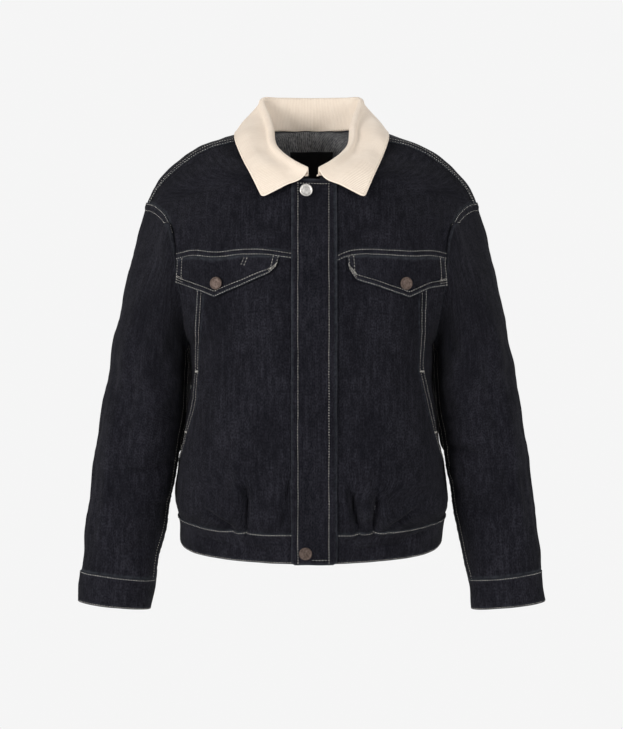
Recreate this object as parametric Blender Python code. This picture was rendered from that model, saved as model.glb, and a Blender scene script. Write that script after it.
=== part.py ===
"""A denim jacket with a corduroy collar, filled out as if worn, with nobody in it.

The jacket faces -Y, +Z is up and +X is the wearer's left. The origin is in the middle of
the neck opening, level with the points where the collar lies on the shoulders.

The body is one smooth surface. Each row of the tables below is a curve from the middle of
the jacket out to its side or armhole, and the rows run from the front hem up over the
shoulder and down to the back hem. Every panel is a stretch of that surface with a wall of
cloth, parted from its neighbours by a narrow seam gap. The sleeves grow out of the
armhole's own edge. Lengths in the tables are millimetres.
"""

import math

import bpy
import numpy as np

MM = 0.001

# Thickness of each kind of cloth
DENIM = 1.8
BAND = 2.6
PLACKET_PLY = 2.2
COLLAR_PLY = 3.0
FLAP_PLY = 2.0
LABEL_PLY = 1.0

# Between two pieces at a seam, between a piece and the cloth that it lies on, and under a button
SEAM_GAP = 0.3
LAY_GAP = 0.5
BUTTON_GAP = 0.45

# Where the placket and the two fronts end, measured across from the middle of the jacket
PLACKET_RIGHT = -27.0
PLACKET_LEFT = 33.0
FRONT_RIGHT_END = 8.0
FRONT_LEFT_END = 12.0

BUTTON_RADIUS = 8.8

# How square the body is: the share of the half width, and of the depth, that a row's
# two handles reach. 0.55 would be an ellipse.
SQUARENESS = 0.62

# Body rows below the underarm.
# name, side x, side z, front y, front z, back y, back z, front puff, back puff
LOW_ROWS = [
    ("band_bottom", 184, -575, -120, -596, 104, -579, 0, 0),
    ("band_top", 187, -541, -127, -559, 109, -543, 0, 0),
    ("blouse", 192, -524, -130, -541, 117, -525, 9, 6),
    ("low", 187, -470, -131, -480, 116, -470, 6, 3),
    ("mid", 177, -395, -131, -400, 118, -395, 2, 0),
    ("waist", 171, -340, -134, -340, 121, -340, 0, 0),
    ("underarm", 172, -300, -136, -300, 122, -300, 0, 0),
]

# Body rows from the underarm up the front, over the shoulder and down the back.
# name, middle (x, y, z), its handle (dx, dy, dz), armhole edge (x, y, z), its handle (dx, dy, dz)
HIGH_ROWS = [
    ("chest_low", (0, -135, -268), (108, 0, -2), (175, -36, -287), (-8, -56, 4)),
    ("chest_mid", (0, -132.5, -235), (108, 0, -2), (181, -58, -258), (-25, -46, 6)),
    ("chest_high", (0, -129, -205), (106, 0, -1), (188, -70, -215), (-40, -38, 3)),
    ("yoke_seam", (0, -125, -176), (104, 0, 8), (190, -73, -171), (-46, -38, 1)),
    ("yoke_mid", (0, -117, -140), (100, 2, 5), (193, -68, -141), (-50, -36, 4)),
    ("yoke_high", (0, -108, -104), (92, 2, 4), (201, -54, -119), (-55, -36, 12)),
    ("neck_front", (0, -100, -74), (78, 2, 2), (211, -39, -108), (-58, -37, 24)),
    ("neck_side", (44, -84, -60), (52, -6, 3), (219, -27, -102), (-52, -35, 36)),
    ("neck_slope", (66, -46, -33), (56, -6, 3), (225, -18, -99), (-36, -20, 53)),
    ("shoulder_seam", (75, -12, -1), (71, -10, -13), (229, -11, -98), (-26, -6, 48)),
    ("ridge", (76, 6, 8), (72, -2, -19), (234, 3, -96), (-22, 0, 54)),
    ("nape_side", (68, 36, 12), (66, 4, -16), (222, 30, -103), (-24, 10, 50)),
    ("nape", (40, 54, 13), (62, 4, -4), (211, 50, -118), (-38, 13, 48)),
    ("neck_back", (0, 60, 13), (60, 0, 0), (203, 62, -140), (-46, 20, 52)),
    ("blade_high", (0, 84, -62), (80, 0, 0), (198, 70, -162), (-50, 24, 44)),
    ("back_yoke_seam", (0, 107, -165), (92, 0, 0), (195.5, 75, -188), (-50, 31, 14)),
    ("blade_mid", (0, 115, -215), (100, 0, 0), (192, 70, -230), (-44, 40, 8)),
    ("blade_low", (0, 119, -262), (106, 0, 0), (185, 46, -275), (-18, 54, 6)),
]

# The twin-stitched seam between front and side, and the hidden one between side and back.
# row, place of the front seam, place of the back seam, counted round the body from the
# middle of the front: 1 is the side, 2 is the middle of the back.
SIDE_SEAMS = [
    ("band_bottom", 1.06, 1.31),
    ("band_top", 1.06, 1.30),
    ("low", 1.01, 1.24),
    ("mid", 0.84, 1.14),
    ("waist", 0.69, 1.06),
    ("underarm", 0.65, 1.0),
    ("chest_high", 0.66, 1.0),
    ("yoke_seam", 0.67, 1.0),
]

# The largest folds of the body, each a soft trough or ridge along a line.
# face, x and z where it starts, x and z where it ends, width, height (less than 0 is a trough)
BODY_FOLDS = [
    ("front", -91, -490, -91, -556, 9, -6.0),
    ("front", -103, -440, -104, -512, 11, 3.5),
    ("front", -142, -524, -108, -548, 9, -2.5),
    ("front", 54, -498, 63, -556, 9, -5.0),
    ("front", 90, -504, 86, -556, 9, -5.0),
    ("front", 73, -478, 75, -540, 9, 3.5),
    ("front", 110, -522, 140, -512, 9, -2.5),
    ("front", 100, -116, 56, -164, 12, -2.0),
    ("front", -140, -390, -60, -470, 20, 2.5),
    ("front", 150, -380, 70, -440, 20, 2.5),
    ("back", -95, -470, -92, -540, 12, -5.0),
    ("back", 95, -462, 98, -540, 12, -5.0),
    ("back", -40, -455, -36, -530, 13, 3.0),
    ("back", 48, -450, 42, -530, 13, 3.0),
    ("back", -150, -330, -60, -380, 18, -3.0),
    ("back", 150, -336, 66, -372, 18, -3.0),
]

# Sleeve sections from the armhole to the end of the cuff.
# name, outer edge (x, z), inner edge (x, z), half the depth, y of the middle
SLEEVE_ROWS = [
    ("armhole", 234, -96, 172, -300, 74, 0),
    ("cap", 243, -125, 178, -312, 74, 0),
    ("upper", 252, -160, 177.5, -325, 73, 0),
    ("upper_mid", 261, -200, 177.5, -338, 71, 0),
    ("bicep", 271, -245, 177.5, -352, 69, -1),
    ("bicep_low", 282, -300, 179, -374, 66, -2),
    ("elbow_high", 291, -355, 182, -400, 62, -4),
    ("elbow", 300, -410, 187, -432, 58, -6),
    ("elbow_low", 309, -465, 192.5, -474, 53, -8),
    ("forearm", 315, -515, 200, -519, 48, -9),
    ("wrist_high", 320, -565, 210, -568, 43, -10),
    ("cuff_seam", 325.5, -616, 221.5, -628, 38, -11),
    ("cuff_end", 328.4, -660, 228, -671, 35, -11),
]

# The share of the sleeve's length over which the armhole's own shape fades out
ARMHOLE_FADE = 0.34

# How far the outer end of a cuff laps past the back seam, in two steps
CUFF_LAP = (20.0, 40.0)

# The largest folds of the sleeves, each along a line on the sleeve.
# side (1 left, -1 right), angle and distance down where it starts, the same where it ends,
# width, height. Angles are degrees round the sleeve: 0 outer edge, -90 front, 180 inner edge.
SLEEVE_FOLDS = [
    (1, -165, 235, -75, 268, 12, -4.5),
    (1, -170, 272, -95, 318, 13, 3.5),
    (1, -150, 330, -60, 352, 12, -3.0),
    (1, -20, 120, -70, 220, 16, -3.0),
    (1, 60, 250, 150, 290, 14, -4.0),
    (-1, -160, 262, -70, 292, 12, -4.5),
    (-1, -172, 300, -90, 340, 13, 3.5),
    (-1, -140, 385, -70, 402, 12, -3.0),
    (-1, -25, 130, -75, 235, 16, -3.0),
    (-1, 60, 240, 150, 285, 14, -4.0),
]

# Collar stations from the front end round to the middle of the back, on the left half.
# row of the body that it stands on, top of the roll (x, y, z), heading of the fall in
# degrees from +X, outer edge (x, y, z). The first one stands at NECK_END_SHARE.
COLLAR_ROWS = [
    ("neck_front", (6.5, -102, -57), -84, (70, -116, -99)),
    ("neck_side", (27, -88, -44.5), -62, (84, -95, -68)),
    ("neck_slope", (49, -48, -14), -28, (98, -62, -38)),
    ("shoulder_seam", (59, -12, 16), -8, (109, -28, -8)),
    ("ridge", (64, 9, 33), 2, (110.5, 6, 4)),
    ("nape_side", (71, 43, 59), 32, (107, 52, -3)),
    ("nape", (46, 58, 62), 66, (66, 82, -5)),
    ("neck_back", (0, 62, 62), 90, (0, 92, -4)),
]
COLLAR_ROLL = 5.6
# The collar ends a little short of the middle of the front, at this share of the way from
# the neck_front row to the neck_side row
NECK_END_SHARE = 0.16
COLLAR_SHIFT = 2.5
# How far the middle of the fall stands out of a straight line, at the front end and the back
COLLAR_BULGE = (1.0, 4.5)
# The collar from foot to outer edge: its shares at the stand's foot, round the roll (five),
# in the middle of the fall and at the edge, and the shares where its grid has a row
COLLAR_SPINE_SHARES = [0.0, 0.36, 0.42, 0.46, 0.5, 0.56, 0.77, 1.0]
COLLAR_GRID_SHARES = [0.0, 0.12, 0.24, 0.36, 0.42, 0.46, 0.5, 0.56, 0.7, 0.85, 1.0]
# The foot stands this far off the body's neck edge
COLLAR_FOOT_GAP = 0.7

# Pocket flap outlines from the inner edge to the outer edge, and each button's place.
# distance from the middle and height of the top edge, then the same of the lower edge
FLAP_RIGHT_ROWS = [
    (43.5, -183.5, 46.5, -195.0),
    (52.0, -183.2, 57.0, -203.0),
    (90.0, -182.0, 92.0, -218.5),
    (129.0, -181.0, 130.0, -234.5),
    (160.0, -180.5, 161.0, -222.0),
    (184.0, -180.5, 184.5, -212.5),
]
FLAP_LEFT_ROWS = [
    (48.5, -185.5, 49.5, -197.0),
    (58.0, -184.8, 60.5, -212.5),
    (92.0, -183.0, 94.0, -223.5),
    (130.0, -181.5, 132.0, -235.5),
    (160.0, -181.0, 160.0, -221.5),
    (184.0, -181.0, 184.5, -217.0),
]
FLAP_RIGHT_BUTTON = (-127.0, -216.0)
FLAP_LEFT_BUTTON = (127.0, -216.0)
# How far the flap's lower edge stands off the chest, and the button's share of the way to it
FLAP_LIFT = 1.6
FLAP_BUTTON_SHARE = 0.45

BUTTON_TOP = (-7.5, -90.0)
BUTTON_BOTTOM = (-8.0, -581.0)

# Neck label: half width, how far its top and bottom lie below the back neck edge, and its
# distance from the yoke's inside
LABEL_HALF = 31.0
LABEL_TOP = 27.0
LABEL_BOTTOM = 67.0
LABEL_GAP = 0.9

# Grid steps across and along the panels
STEPS_FRONT = 12
STEPS_SIDE = 4
STEPS_YOKE = 11
STEPS_BACK = 11
STEPS_SLEEVE = 16
STEPS_FLAP = 4


# ---------------------------------------------------------------- the body's surface

def low_controls(row, back):
    """The four control points of a row below the underarm, on the front or the back."""
    side_x, side_z = row[1], row[2]
    y, z, puff = (row[5], row[6], row[8]) if back else (row[3], row[4], row[7])
    outward = puff if back else -puff
    return [
        (0, y, z),
        (SQUARENESS * side_x, y + outward, z),
        (side_x, SQUARENESS * y + outward * 0.5, side_z + SQUARENESS * (z - side_z)),
        (side_x, 0, side_z),
    ]


def high_controls(row):
    middle, reach, edge, lean = (np.array(part, dtype=float) for part in row[1:])
    return [middle, middle + reach, edge + lean, edge]


def body_rows():
    """Names and control points of all rows, front hem to back hem."""
    names = [row[0] for row in LOW_ROWS]
    names += [row[0] for row in HIGH_ROWS]
    names += ["back_" + row[0] for row in reversed(LOW_ROWS)]
    controls = [low_controls(row, False) for row in LOW_ROWS]
    controls += [high_controls(row) for row in HIGH_ROWS]
    controls += [low_controls(row, True) for row in reversed(LOW_ROWS)]
    return names, np.array([np.array(four, dtype=float) for four in controls])


ROW_NAMES, ROW_CONTROLS = body_rows()


def row_keys():
    """How far along the surface each row lies. Front and back rows below the arm pair up."""
    steps = np.linalg.norm(np.diff(ROW_CONTROLS, axis=0), axis=2).mean(axis=1)
    low = len(LOW_ROWS) - 1
    steps[-low:] = steps[:low][::-1]
    return np.concatenate([[0.0], np.cumsum(steps)])


ROW_KEYS = row_keys()
KEY = dict(zip(ROW_NAMES, ROW_KEYS))
END_KEY = ROW_KEYS[-1]


def row_slopes():
    """Slopes of the control points before and after each row, smooth but for a few breaks."""
    steps = np.diff(ROW_KEYS)[:, None, None]
    chords = np.diff(ROW_CONTROLS, axis=0) / steps
    blend = steps[1:] / (steps[:-1] + steps[1:])
    before = np.concatenate([chords[:1], chords[:-1] * blend + chords[1:] * (1 - blend), chords[-1:]])
    after = before.copy()
    breaks = [("underarm", 3, (0, 1, 2)), ("underarm", 2, (0,))]
    breaks += [("back_underarm", 3, (0, 1, 2)), ("back_underarm", 2, (0,))]
    breaks += [("neck_front", 0, (0,)), ("neck_back", 0, (0, 1, 2))]
    for name, control, axes in breaks:
        row = ROW_NAMES.index(name)
        for axis in axes:
            before[row, control, axis] = chords[row - 1, control, axis]
            after[row, control, axis] = chords[row, control, axis]
    return before, after


SLOPES_BEFORE, SLOPES_AFTER = row_slopes()


def hermite(keys, values, before, after, place):
    """A smooth curve through the values, read at each place along the keys."""
    cell = np.clip(np.searchsorted(keys, place, side="right") - 1, 0, len(keys) - 2)
    step = keys[cell + 1] - keys[cell]
    share = (place - keys[cell]) / step
    extra = (1,) * (values.ndim - 1)
    share = share.reshape(share.shape + extra)
    step = step.reshape(step.shape + extra)
    square, cube = share ** 2, share ** 3
    return ((2 * cube - 3 * square + 1) * values[cell] + (3 * square - 2 * cube) * values[cell + 1]
            + (cube - 2 * square + share) * step * after[cell]
            + (cube - square) * step * before[cell + 1])


def smooth_table(keys, values, place):
    """hermite with slopes taken from the table itself."""
    keys = np.array(keys, dtype=float)
    values = np.array(values, dtype=float)
    steps = np.diff(keys).reshape((-1,) + (1,) * (values.ndim - 1))
    chords = np.diff(values, axis=0) / steps
    blend = steps[1:] / (steps[:-1] + steps[1:])
    slopes = np.concatenate([chords[:1], chords[:-1] * blend + chords[1:] * (1 - blend), chords[-1:]])
    return hermite(keys, values, slopes, slopes, np.asarray(place, dtype=float))


def plain_body(along, across, side):
    """The body before its folds. across is 0 at the middle and 1 at the side or armhole;
    less than 0 runs over onto the other half."""
    along, across, side = np.broadcast_arrays(np.asarray(along, float), across, side)
    controls = hermite(ROW_KEYS, ROW_CONTROLS, SLOPES_BEFORE, SLOPES_AFTER, along)
    share = np.abs(across)[..., None]
    rest = 1 - share
    points = (rest ** 3 * controls[..., 0, :] + 3 * share * rest ** 2 * controls[..., 1, :]
              + 3 * share ** 2 * rest * controls[..., 2, :] + share ** 3 * controls[..., 3, :])
    points[..., 0] *= side * np.where(across < 0, -1, 1)
    return points


def unit(vectors):
    return vectors / np.maximum(np.linalg.norm(vectors, axis=-1, keepdims=True), 1e-9)


def surface_normals(surface, first, second, side, step_first, step_second, sense):
    """Normals of a surface by small steps both ways, for one half of the jacket."""
    run_first = surface(first + step_first, second, side) - surface(first - step_first, second, side)
    run_second = surface(first, second + step_second, side) - surface(first, second - step_second, side)
    return unit(np.cross(run_first, run_second)) * np.asarray(side * sense, float)[..., None]


def fold_heights(flat, folds):
    """How far the folds move points of a flat chart: a soft ridge or trough along each line."""
    height = np.zeros(flat.shape[:-1])
    for start_u, start_v, end_u, end_v, width, rise in folds:
        start = np.array([start_u, start_v], float)
        line = np.array([end_u, end_v], float) - start
        share = np.clip(((flat - start) @ line) / (line @ line), 0, 1)
        away = np.linalg.norm(flat - start - share[..., None] * line, axis=-1)
        fade = 1 - (2 * share - 1) ** 4
        height += rise * fade * np.exp(-(away / width) ** 2)
    return height


def body_normals(along, across, side):
    # Steps of a millimetre along, and of a hundredth of a half width across
    return surface_normals(plain_body, along, across, side, 1.0, 0.01, -1)


def body(along, across, side):
    """The outer surface of the body, with its largest folds."""
    along, across, side = np.broadcast_arrays(np.asarray(along, float), across, side)
    points = plain_body(along, across, side)
    heights = np.zeros(points.shape[:-1])
    flat = points[..., [0, 2]]
    for face, sign in (("front", -1), ("back", 1)):
        folds = [row[1:] for row in BODY_FOLDS if row[0] == face]
        weight = np.clip(sign * points[..., 1] / 40, 0, 1)
        heights += fold_heights(flat, folds) * weight
    return points + body_normals(along, across, side) * heights[..., None]


def outer_normals(along, across, side):
    return surface_normals(body, np.asarray(along, float), np.asarray(across, float),
                           np.asarray(side, float), 1.0, 0.01, -1)


def ring(along, around, side):
    """The body below the underarm, counted on round the side to the middle of the back."""
    along, around, side = np.broadcast_arrays(np.asarray(along, float), around, side)
    behind = around > 1
    return body(np.where(behind, END_KEY - along, along), np.where(behind, 2 - around, around), side)


def ring_normals(along, around, side):
    along, around, side = np.broadcast_arrays(np.asarray(along, float), around, side)
    behind = around > 1
    normals = outer_normals(np.where(behind, END_KEY - along, along),
                            np.where(behind, 2 - around, around), side)
    return normals


def across_at(along, distance):
    """The place across a row where it is this far from the middle."""
    low = np.zeros_like(along)
    high = np.ones_like(along)
    for _ in range(40):
        middle = (low + high) / 2
        short = plain_body(along, middle, 1.0)[..., 0] < distance
        low = np.where(short, middle, low)
        high = np.where(short, high, middle)
    return (low + high) / 2


def find_front(x, z):
    """Where the front surface has this x and z: place along, place across, and half."""
    side = np.where(np.asarray(x, float) < 0, -1.0, 1.0)
    distance = np.abs(np.asarray(x, float))
    z = np.asarray(z, float)
    low = np.full(distance.shape, KEY["band_bottom"])
    high = np.full(distance.shape, KEY["shoulder_seam"])
    for _ in range(40):
        middle = (low + high) / 2
        height = plain_body(middle, across_at(middle, distance), 1.0)[..., 2]
        low = np.where(height < z, middle, low)
        high = np.where(height < z, high, middle)
    along = (low + high) / 2
    return along, across_at(along, distance), side


# ---------------------------------------------------------------- the sleeves' surface

SLEEVE_START = KEY["underarm"]
SLEEVE_END = KEY["back_underarm"]
SLEEVE_SPLIT = KEY["back_yoke_seam"]


def sleeve_keys():
    middles = np.array([((row[1] + row[3]) / 2, (row[2] + row[4]) / 2) for row in SLEEVE_ROWS])
    return np.concatenate([[0.0], np.cumsum(np.linalg.norm(np.diff(middles, axis=0), axis=1))])


SLEEVE_KEYS = sleeve_keys()
CUFF_SEAM = SLEEVE_KEYS[-2]
CUFF_END = SLEEVE_KEYS[-1]


def sleeve_section(down, angle):
    """A point of the left sleeve's plain sections, at this angle round it."""
    table = smooth_table(SLEEVE_KEYS, [row[1:] for row in SLEEVE_ROWS], down)
    outer_x, outer_z, inner_x, inner_z, depth, y = np.moveaxis(table, -1, 0)
    swing, fore = np.cos(angle), np.sin(angle)
    return np.stack([
        (outer_x + inner_x) / 2 + (outer_x - inner_x) / 2 * swing,
        y + depth * fore,
        (outer_z + inner_z) / 2 + (outer_z - inner_z) / 2 * swing,
    ], axis=-1)


def armhole(around, side):
    """The armhole's edge. around is the place along the body's rows, and runs on in a ring."""
    span = SLEEVE_END - SLEEVE_START
    place = SLEEVE_START + np.mod(around - SLEEVE_START, span)
    return body(place, 1.0, side)


def armhole_angle(around):
    """The angle of each place of the armhole round the sleeve's first section."""
    outer_x, outer_z, inner_x, inner_z, depth, y = SLEEVE_ROWS[0][1:]
    points = armhole(around, 1.0)
    half = np.array([outer_x - inner_x, outer_z - inner_z]) / 2
    centre = np.array([outer_x + inner_x, outer_z + inner_z]) / 2
    rise = (points[..., [0, 2]] - centre) @ half / (half @ half)
    return np.arctan2((points[..., 1] - y) / depth, rise)


def plain_sleeve(down, around, side):
    down, around, side = np.broadcast_arrays(np.asarray(down, float), around, side)
    angle = armhole_angle(around)
    share = np.clip(down / (CUFF_SEAM * ARMHOLE_FADE), 0, 1)
    fade = 1 - share ** 2 * (3 - 2 * share)
    points = sleeve_section(down, angle)
    points[..., 0] *= side
    first = sleeve_section(np.zeros_like(down), angle)
    first[..., 0] *= side
    return points + fade[..., None] * (armhole(around, side) - first)


def sleeve_normals(down, around, side):
    return surface_normals(plain_sleeve, np.asarray(down, float), np.asarray(around, float),
                           np.asarray(side, float), 1.0, 1.5, 1)


def sleeve(down, around, side):
    """The outer surface of a sleeve and its cuff, with the largest folds."""
    down, around, side = np.broadcast_arrays(np.asarray(down, float), around, side)
    points = plain_sleeve(down, around, side)
    angle = armhole_angle(around)
    # The chart runs round the sleeve in millimetres, at a radius between arm and cuff
    radius = 60.0
    flat = np.stack([angle * radius, down], axis=-1)
    heights = np.zeros(down.shape)
    for half in (1, -1):
        folds = [(math.radians(row[1]) * radius, row[2], math.radians(row[3]) * radius, row[4],
                  row[5], row[6]) for row in SLEEVE_FOLDS if row[0] == half]
        heights += np.where(side == half, fold_heights(flat, folds), 0)
    return points + sleeve_normals(down, around, side) * heights[..., None]


def sleeve_outer_normals(down, around, side):
    return surface_normals(sleeve, np.asarray(down, float), np.asarray(around, float),
                           np.asarray(side, float), 1.0, 1.5, 1)


def armhole_backs(around, side, thickness):
    """The way from the outer to the inner edge at the armhole, shared by body and sleeve."""
    span = SLEEVE_END - SLEEVE_START
    place = SLEEVE_START + np.mod(around - SLEEVE_START, span)
    on_body = outer_normals(place, 1.0, side)
    on_sleeve = sleeve_outer_normals(np.zeros_like(around), around, side)
    mitre = unit(on_body + on_sleeve)
    # A mitre is longer than the cloth is thick, but no more than twice
    cosine = np.clip((mitre * on_body).sum(axis=-1), 0.5, 1)
    return -mitre * (thickness / cosine)[..., None]


# ---------------------------------------------------------------- walls of cloth

def inset_grid(points, wrapped=False):
    """A grid whose edges are drawn in by half the seam gap."""
    inner = points.copy()
    half = SEAM_GAP / 2
    inner[0] += unit(points[1] - points[0]) * half
    inner[-1] += unit(points[-2] - points[-1]) * half
    if not wrapped:
        inner[:, 0] += unit(points[:, 1] - points[:, 0]) * half
        inner[:, -1] += unit(points[:, -2] - points[:, -1]) * half
    return inner


def grid_faces(rows, columns, index, wrapped=False):
    """Quads of a grid, whose corners are looked up in an index array."""
    faces = []
    last = columns if wrapped else columns - 1
    for row in range(rows - 1):
        for column in range(last):
            after = (column + 1) % columns
            near, far = index[row], index[row + 1]
            faces.append((near[column], near[after], far[after], far[column]))
    return faces


def material(name, colour, roughness, metallic=0.0):
    made = bpy.data.materials.new(name)
    made.use_nodes = True
    shader = made.node_tree.nodes["Principled BSDF"]
    shader.inputs["Base Color"].default_value = (*colour, 1.0)
    shader.inputs["Roughness"].default_value = roughness
    shader.inputs["Metallic"].default_value = metallic
    return made


def solid(name, points, faces, look):
    """A closed solid from points in millimetres, turned so that its faces point out."""
    points = np.asarray(points, float) * MM
    volume = 0.0
    for face in faces:
        for second, third in zip(face[1:-1], face[2:]):
            volume += np.dot(points[face[0]], np.cross(points[second], points[third]))
    if volume < 0:
        faces = [tuple(reversed(face)) for face in faces]
    mesh = bpy.data.meshes.new(name)
    mesh.from_pydata([tuple(point) for point in points], [], faces)
    mesh.materials.append(look)
    mesh.update()
    mesh.shade_smooth()
    mesh.set_sharp_from_angle(angle=math.radians(50))
    made = bpy.data.objects.new(name, mesh)
    bpy.context.scene.collection.objects.link(made)
    return made


def wall(name, fronts, backs, faces, look):
    """A wall of cloth: a sheet of faces, the same sheet behind it, and rims between them."""
    count = len(fronts)
    # Both pieces at a seam split their rims the same way, by which corner comes first here
    order = np.asarray(fronts, float) @ np.array([0.31, 0.47, 0.83])
    used = set()
    for face in faces:
        used.update(zip(face, face[1:] + face[:1]))
    whole = list(faces)
    whole += [tuple(corner + count for corner in reversed(face)) for face in faces]
    for start, end in sorted(used):
        if (end, start) in used:
            continue
        if order[start] < order[end]:
            whole += [(end, start, end + count), (start, start + count, end + count)]
        else:
            whole += [(end, start, start + count), (end, start + count, end + count)]
    return solid(name, np.concatenate([fronts, backs]), whole, look)


def grid_wall(name, points, ways, look, wrapped=False):
    """A wall on a plain grid. ways lead from each outer point to its inner point."""
    outer = inset_grid(points, wrapped)
    rows, columns = points.shape[:2]
    index = np.arange(rows * columns).reshape(rows, columns)
    faces = grid_faces(rows, columns, index, wrapped)
    return wall(name, outer.reshape(-1, 3), (outer + ways).reshape(-1, 3), faces, look)


def spaced(start, end, steps):
    return np.linspace(start, end, steps + 1)


def joined(*lists):
    """Lists of places that follow each other, with each shared end kept once."""
    return np.concatenate([lists[0]] + [places[1:] for places in lists[1:]])


LOWER_PLACES = joined(
    spaced(KEY["band_top"], KEY["blouse"], 2),
    spaced(KEY["blouse"], KEY["low"], 3),
    spaced(KEY["low"], KEY["mid"], 3),
    spaced(KEY["mid"], KEY["underarm"], 4),
)
CHEST_PLACES = spaced(KEY["underarm"], KEY["yoke_seam"], 5)
NECK_END = KEY["neck_front"] + NECK_END_SHARE * (KEY["neck_side"] - KEY["neck_front"])
COLLAR_FRONT_PLACES = spaced(NECK_END, KEY["shoulder_seam"], 5)
YOKE_PLACES = joined(
    spaced(KEY["yoke_seam"], KEY["neck_front"], 4),
    spaced(KEY["neck_front"], NECK_END, 1),
    COLLAR_FRONT_PLACES,
)
NAPE_PLACES = spaced(KEY["shoulder_seam"], KEY["neck_back"], 6)
BLADE_PLACES = spaced(KEY["neck_back"], KEY["back_yoke_seam"], 5)
BACK_PLACES = spaced(KEY["back_yoke_seam"], KEY["back_underarm"], 5)
BAND_PLACES = spaced(KEY["band_bottom"], KEY["band_top"], 2)


def side_seam(along, column):
    keys = [KEY[row[0]] for row in SIDE_SEAMS]
    return np.interp(along, keys, [row[column] for row in SIDE_SEAMS])


def fan(starts, ends, steps):
    """A grid of places across, from one list of ends to the other, row by row."""
    share = np.linspace(0, 1, steps + 1)
    return starts[:, None] * (1 - share) + ends[:, None] * share


def front_inner(along, side):
    """Where a front ends under the placket. The right one runs on past the middle."""
    end = FRONT_LEFT_END if side > 0 else FRONT_RIGHT_END
    place = across_at(along, end)
    if side > 0:
        shut = along > KEY["neck_front"]
        return np.where(shut & (plain_body(along, 0.0, 1.0)[..., 0] > end), 0.0, place)
    return np.where(along > KEY["neck_front"] + 1, 0.0, -place)


def with_armhole(ways, along, last_places, side, thickness):
    """Sets the last column's ways to the shared armhole mitre where the panel meets it."""
    at_edge = (last_places >= 1 - 1e-9) & (along >= SLEEVE_START - 1e-6) & (along <= SLEEVE_END + 1e-6)
    mitres = armhole_backs(np.clip(along, SLEEVE_START, SLEEVE_END), side, thickness)
    ways[:, -1] = np.where(at_edge[:, None], mitres, ways[:, -1])
    return ways


def build_front(side, name, look):
    along = joined(LOWER_PLACES, CHEST_PLACES)
    places = fan(front_inner(along, side), side_seam(along, 1), STEPS_FRONT)
    points = ring(along[:, None], places, side)
    ways = -ring_normals(along[:, None], places, side) * DENIM
    grid_wall(name, points, ways, look)


def build_side(side, name, look):
    along = joined(LOWER_PLACES, CHEST_PLACES)
    last = side_seam(along, 2)
    places = fan(side_seam(along, 1), last, STEPS_SIDE)
    points = ring(along[:, None], places, side)
    ways = -ring_normals(along[:, None], places, side) * DENIM
    on_arm = np.where(along >= SLEEVE_START - 1e-6, last, 0)
    ways = with_armhole(ways, along, on_arm, side, DENIM)
    grid_wall(name, points, ways, look)


def build_front_yoke(side, name, look):
    inner = front_inner(YOKE_PLACES, side)
    places = fan(inner, np.ones_like(YOKE_PLACES), STEPS_YOKE)
    points = body(YOKE_PLACES[:, None], places, side)
    ways = -outer_normals(YOKE_PLACES[:, None], places, side) * DENIM
    ways = with_armhole(ways, YOKE_PLACES, places[:, -1], side, DENIM)
    grid_wall(name, points, ways, look)


def both_halves(along, steps, joined_from, last_places, name, look):
    """A panel across both halves of the back, parted at the neck above the row joined_from."""
    fronts, ways = [], []
    for side in (-1.0, 1.0):
        places = fan(np.zeros_like(along), last_places, steps)
        points = body(along[:, None], places, side)
        backs = -outer_normals(along[:, None], places, side) * DENIM
        backs = with_armhole(backs, along, last_places, side, DENIM)
        # Where the halves are one, their shared column is drawn in only at its ends
        whole = np.arange(len(along)) >= joined_from
        drawn = inset_grid(points)
        drawn[whole, 0] = points[whole, 0]
        for row, beside in ((0, 1), (-1, -2)):
            if whole[row]:
                drawn[row, 0] += unit(points[beside, 0] - points[row, 0]) * SEAM_GAP / 2
        fronts.append(drawn)
        ways.append(backs)
    rows, columns = len(along), steps + 1
    index = np.arange(2 * rows * columns).reshape(2, rows, columns)
    middle = (ways[0][:, 0] + ways[1][:, 0]) / 2
    for row in range(joined_from, rows):
        index[1, row, 0] = index[0, row, 0]
        ways[0][row, 0] = middle[row]
        fronts[0][row, 0, 0] = 0.0
        ways[0][row, 0, 0] = 0.0
    faces = grid_faces(rows, columns, index[0])
    faces += [tuple(reversed(face)) for face in grid_faces(rows, columns, index[1])]
    outer = np.concatenate([half.reshape(-1, 3) for half in fronts])
    inner = outer + np.concatenate([half.reshape(-1, 3) for half in ways])
    kept = sorted({corner for face in faces for corner in face})
    place = {old: new for new, old in enumerate(kept)}
    faces = [tuple(place[corner] for corner in face) for face in faces]
    wall(name, outer[kept], inner[kept], faces, look)


def build_back_yoke(look):
    along = joined(NAPE_PLACES, BLADE_PLACES)
    both_halves(along, STEPS_YOKE, len(NAPE_PLACES) - 1, np.ones_like(along), "back_yoke", look)


def build_back(look):
    along = joined(BACK_PLACES, END_KEY - LOWER_PLACES[::-1])
    last = np.where(along > KEY["back_underarm"], 2 - side_seam(END_KEY - along, 2), 1.0)
    both_halves(along, STEPS_BACK, 0, last, "back", look)


def build_waistband(look):
    halves = []
    for side in (-1.0, 1.0):
        rows = []
        for along in BAND_PLACES:
            place = np.array([along])
            inner = front_inner(place, side)[0]
            seam, rear = side_seam(place, 1)[0], side_seam(place, 2)[0]
            rows.append(joined(spaced(inner, seam, STEPS_FRONT), spaced(seam, rear, STEPS_SIDE),
                               spaced(rear, 2.0, STEPS_BACK)))
        around = np.array(rows)
        halves.append((ring(BAND_PLACES[:, None], around, side),
                       -ring_normals(BAND_PLACES[:, None], around, side) * BAND))
    points = np.concatenate([halves[0][0], halves[1][0][:, -2::-1]], axis=1)
    ways = np.concatenate([halves[0][1], halves[1][1][:, -2::-1]], axis=1)
    middle = halves[0][0].shape[1] - 1
    points[:, middle, 0] = 0.0
    ways[:, middle, 0] = 0.0
    grid_wall("waistband", points, ways, look)


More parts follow.
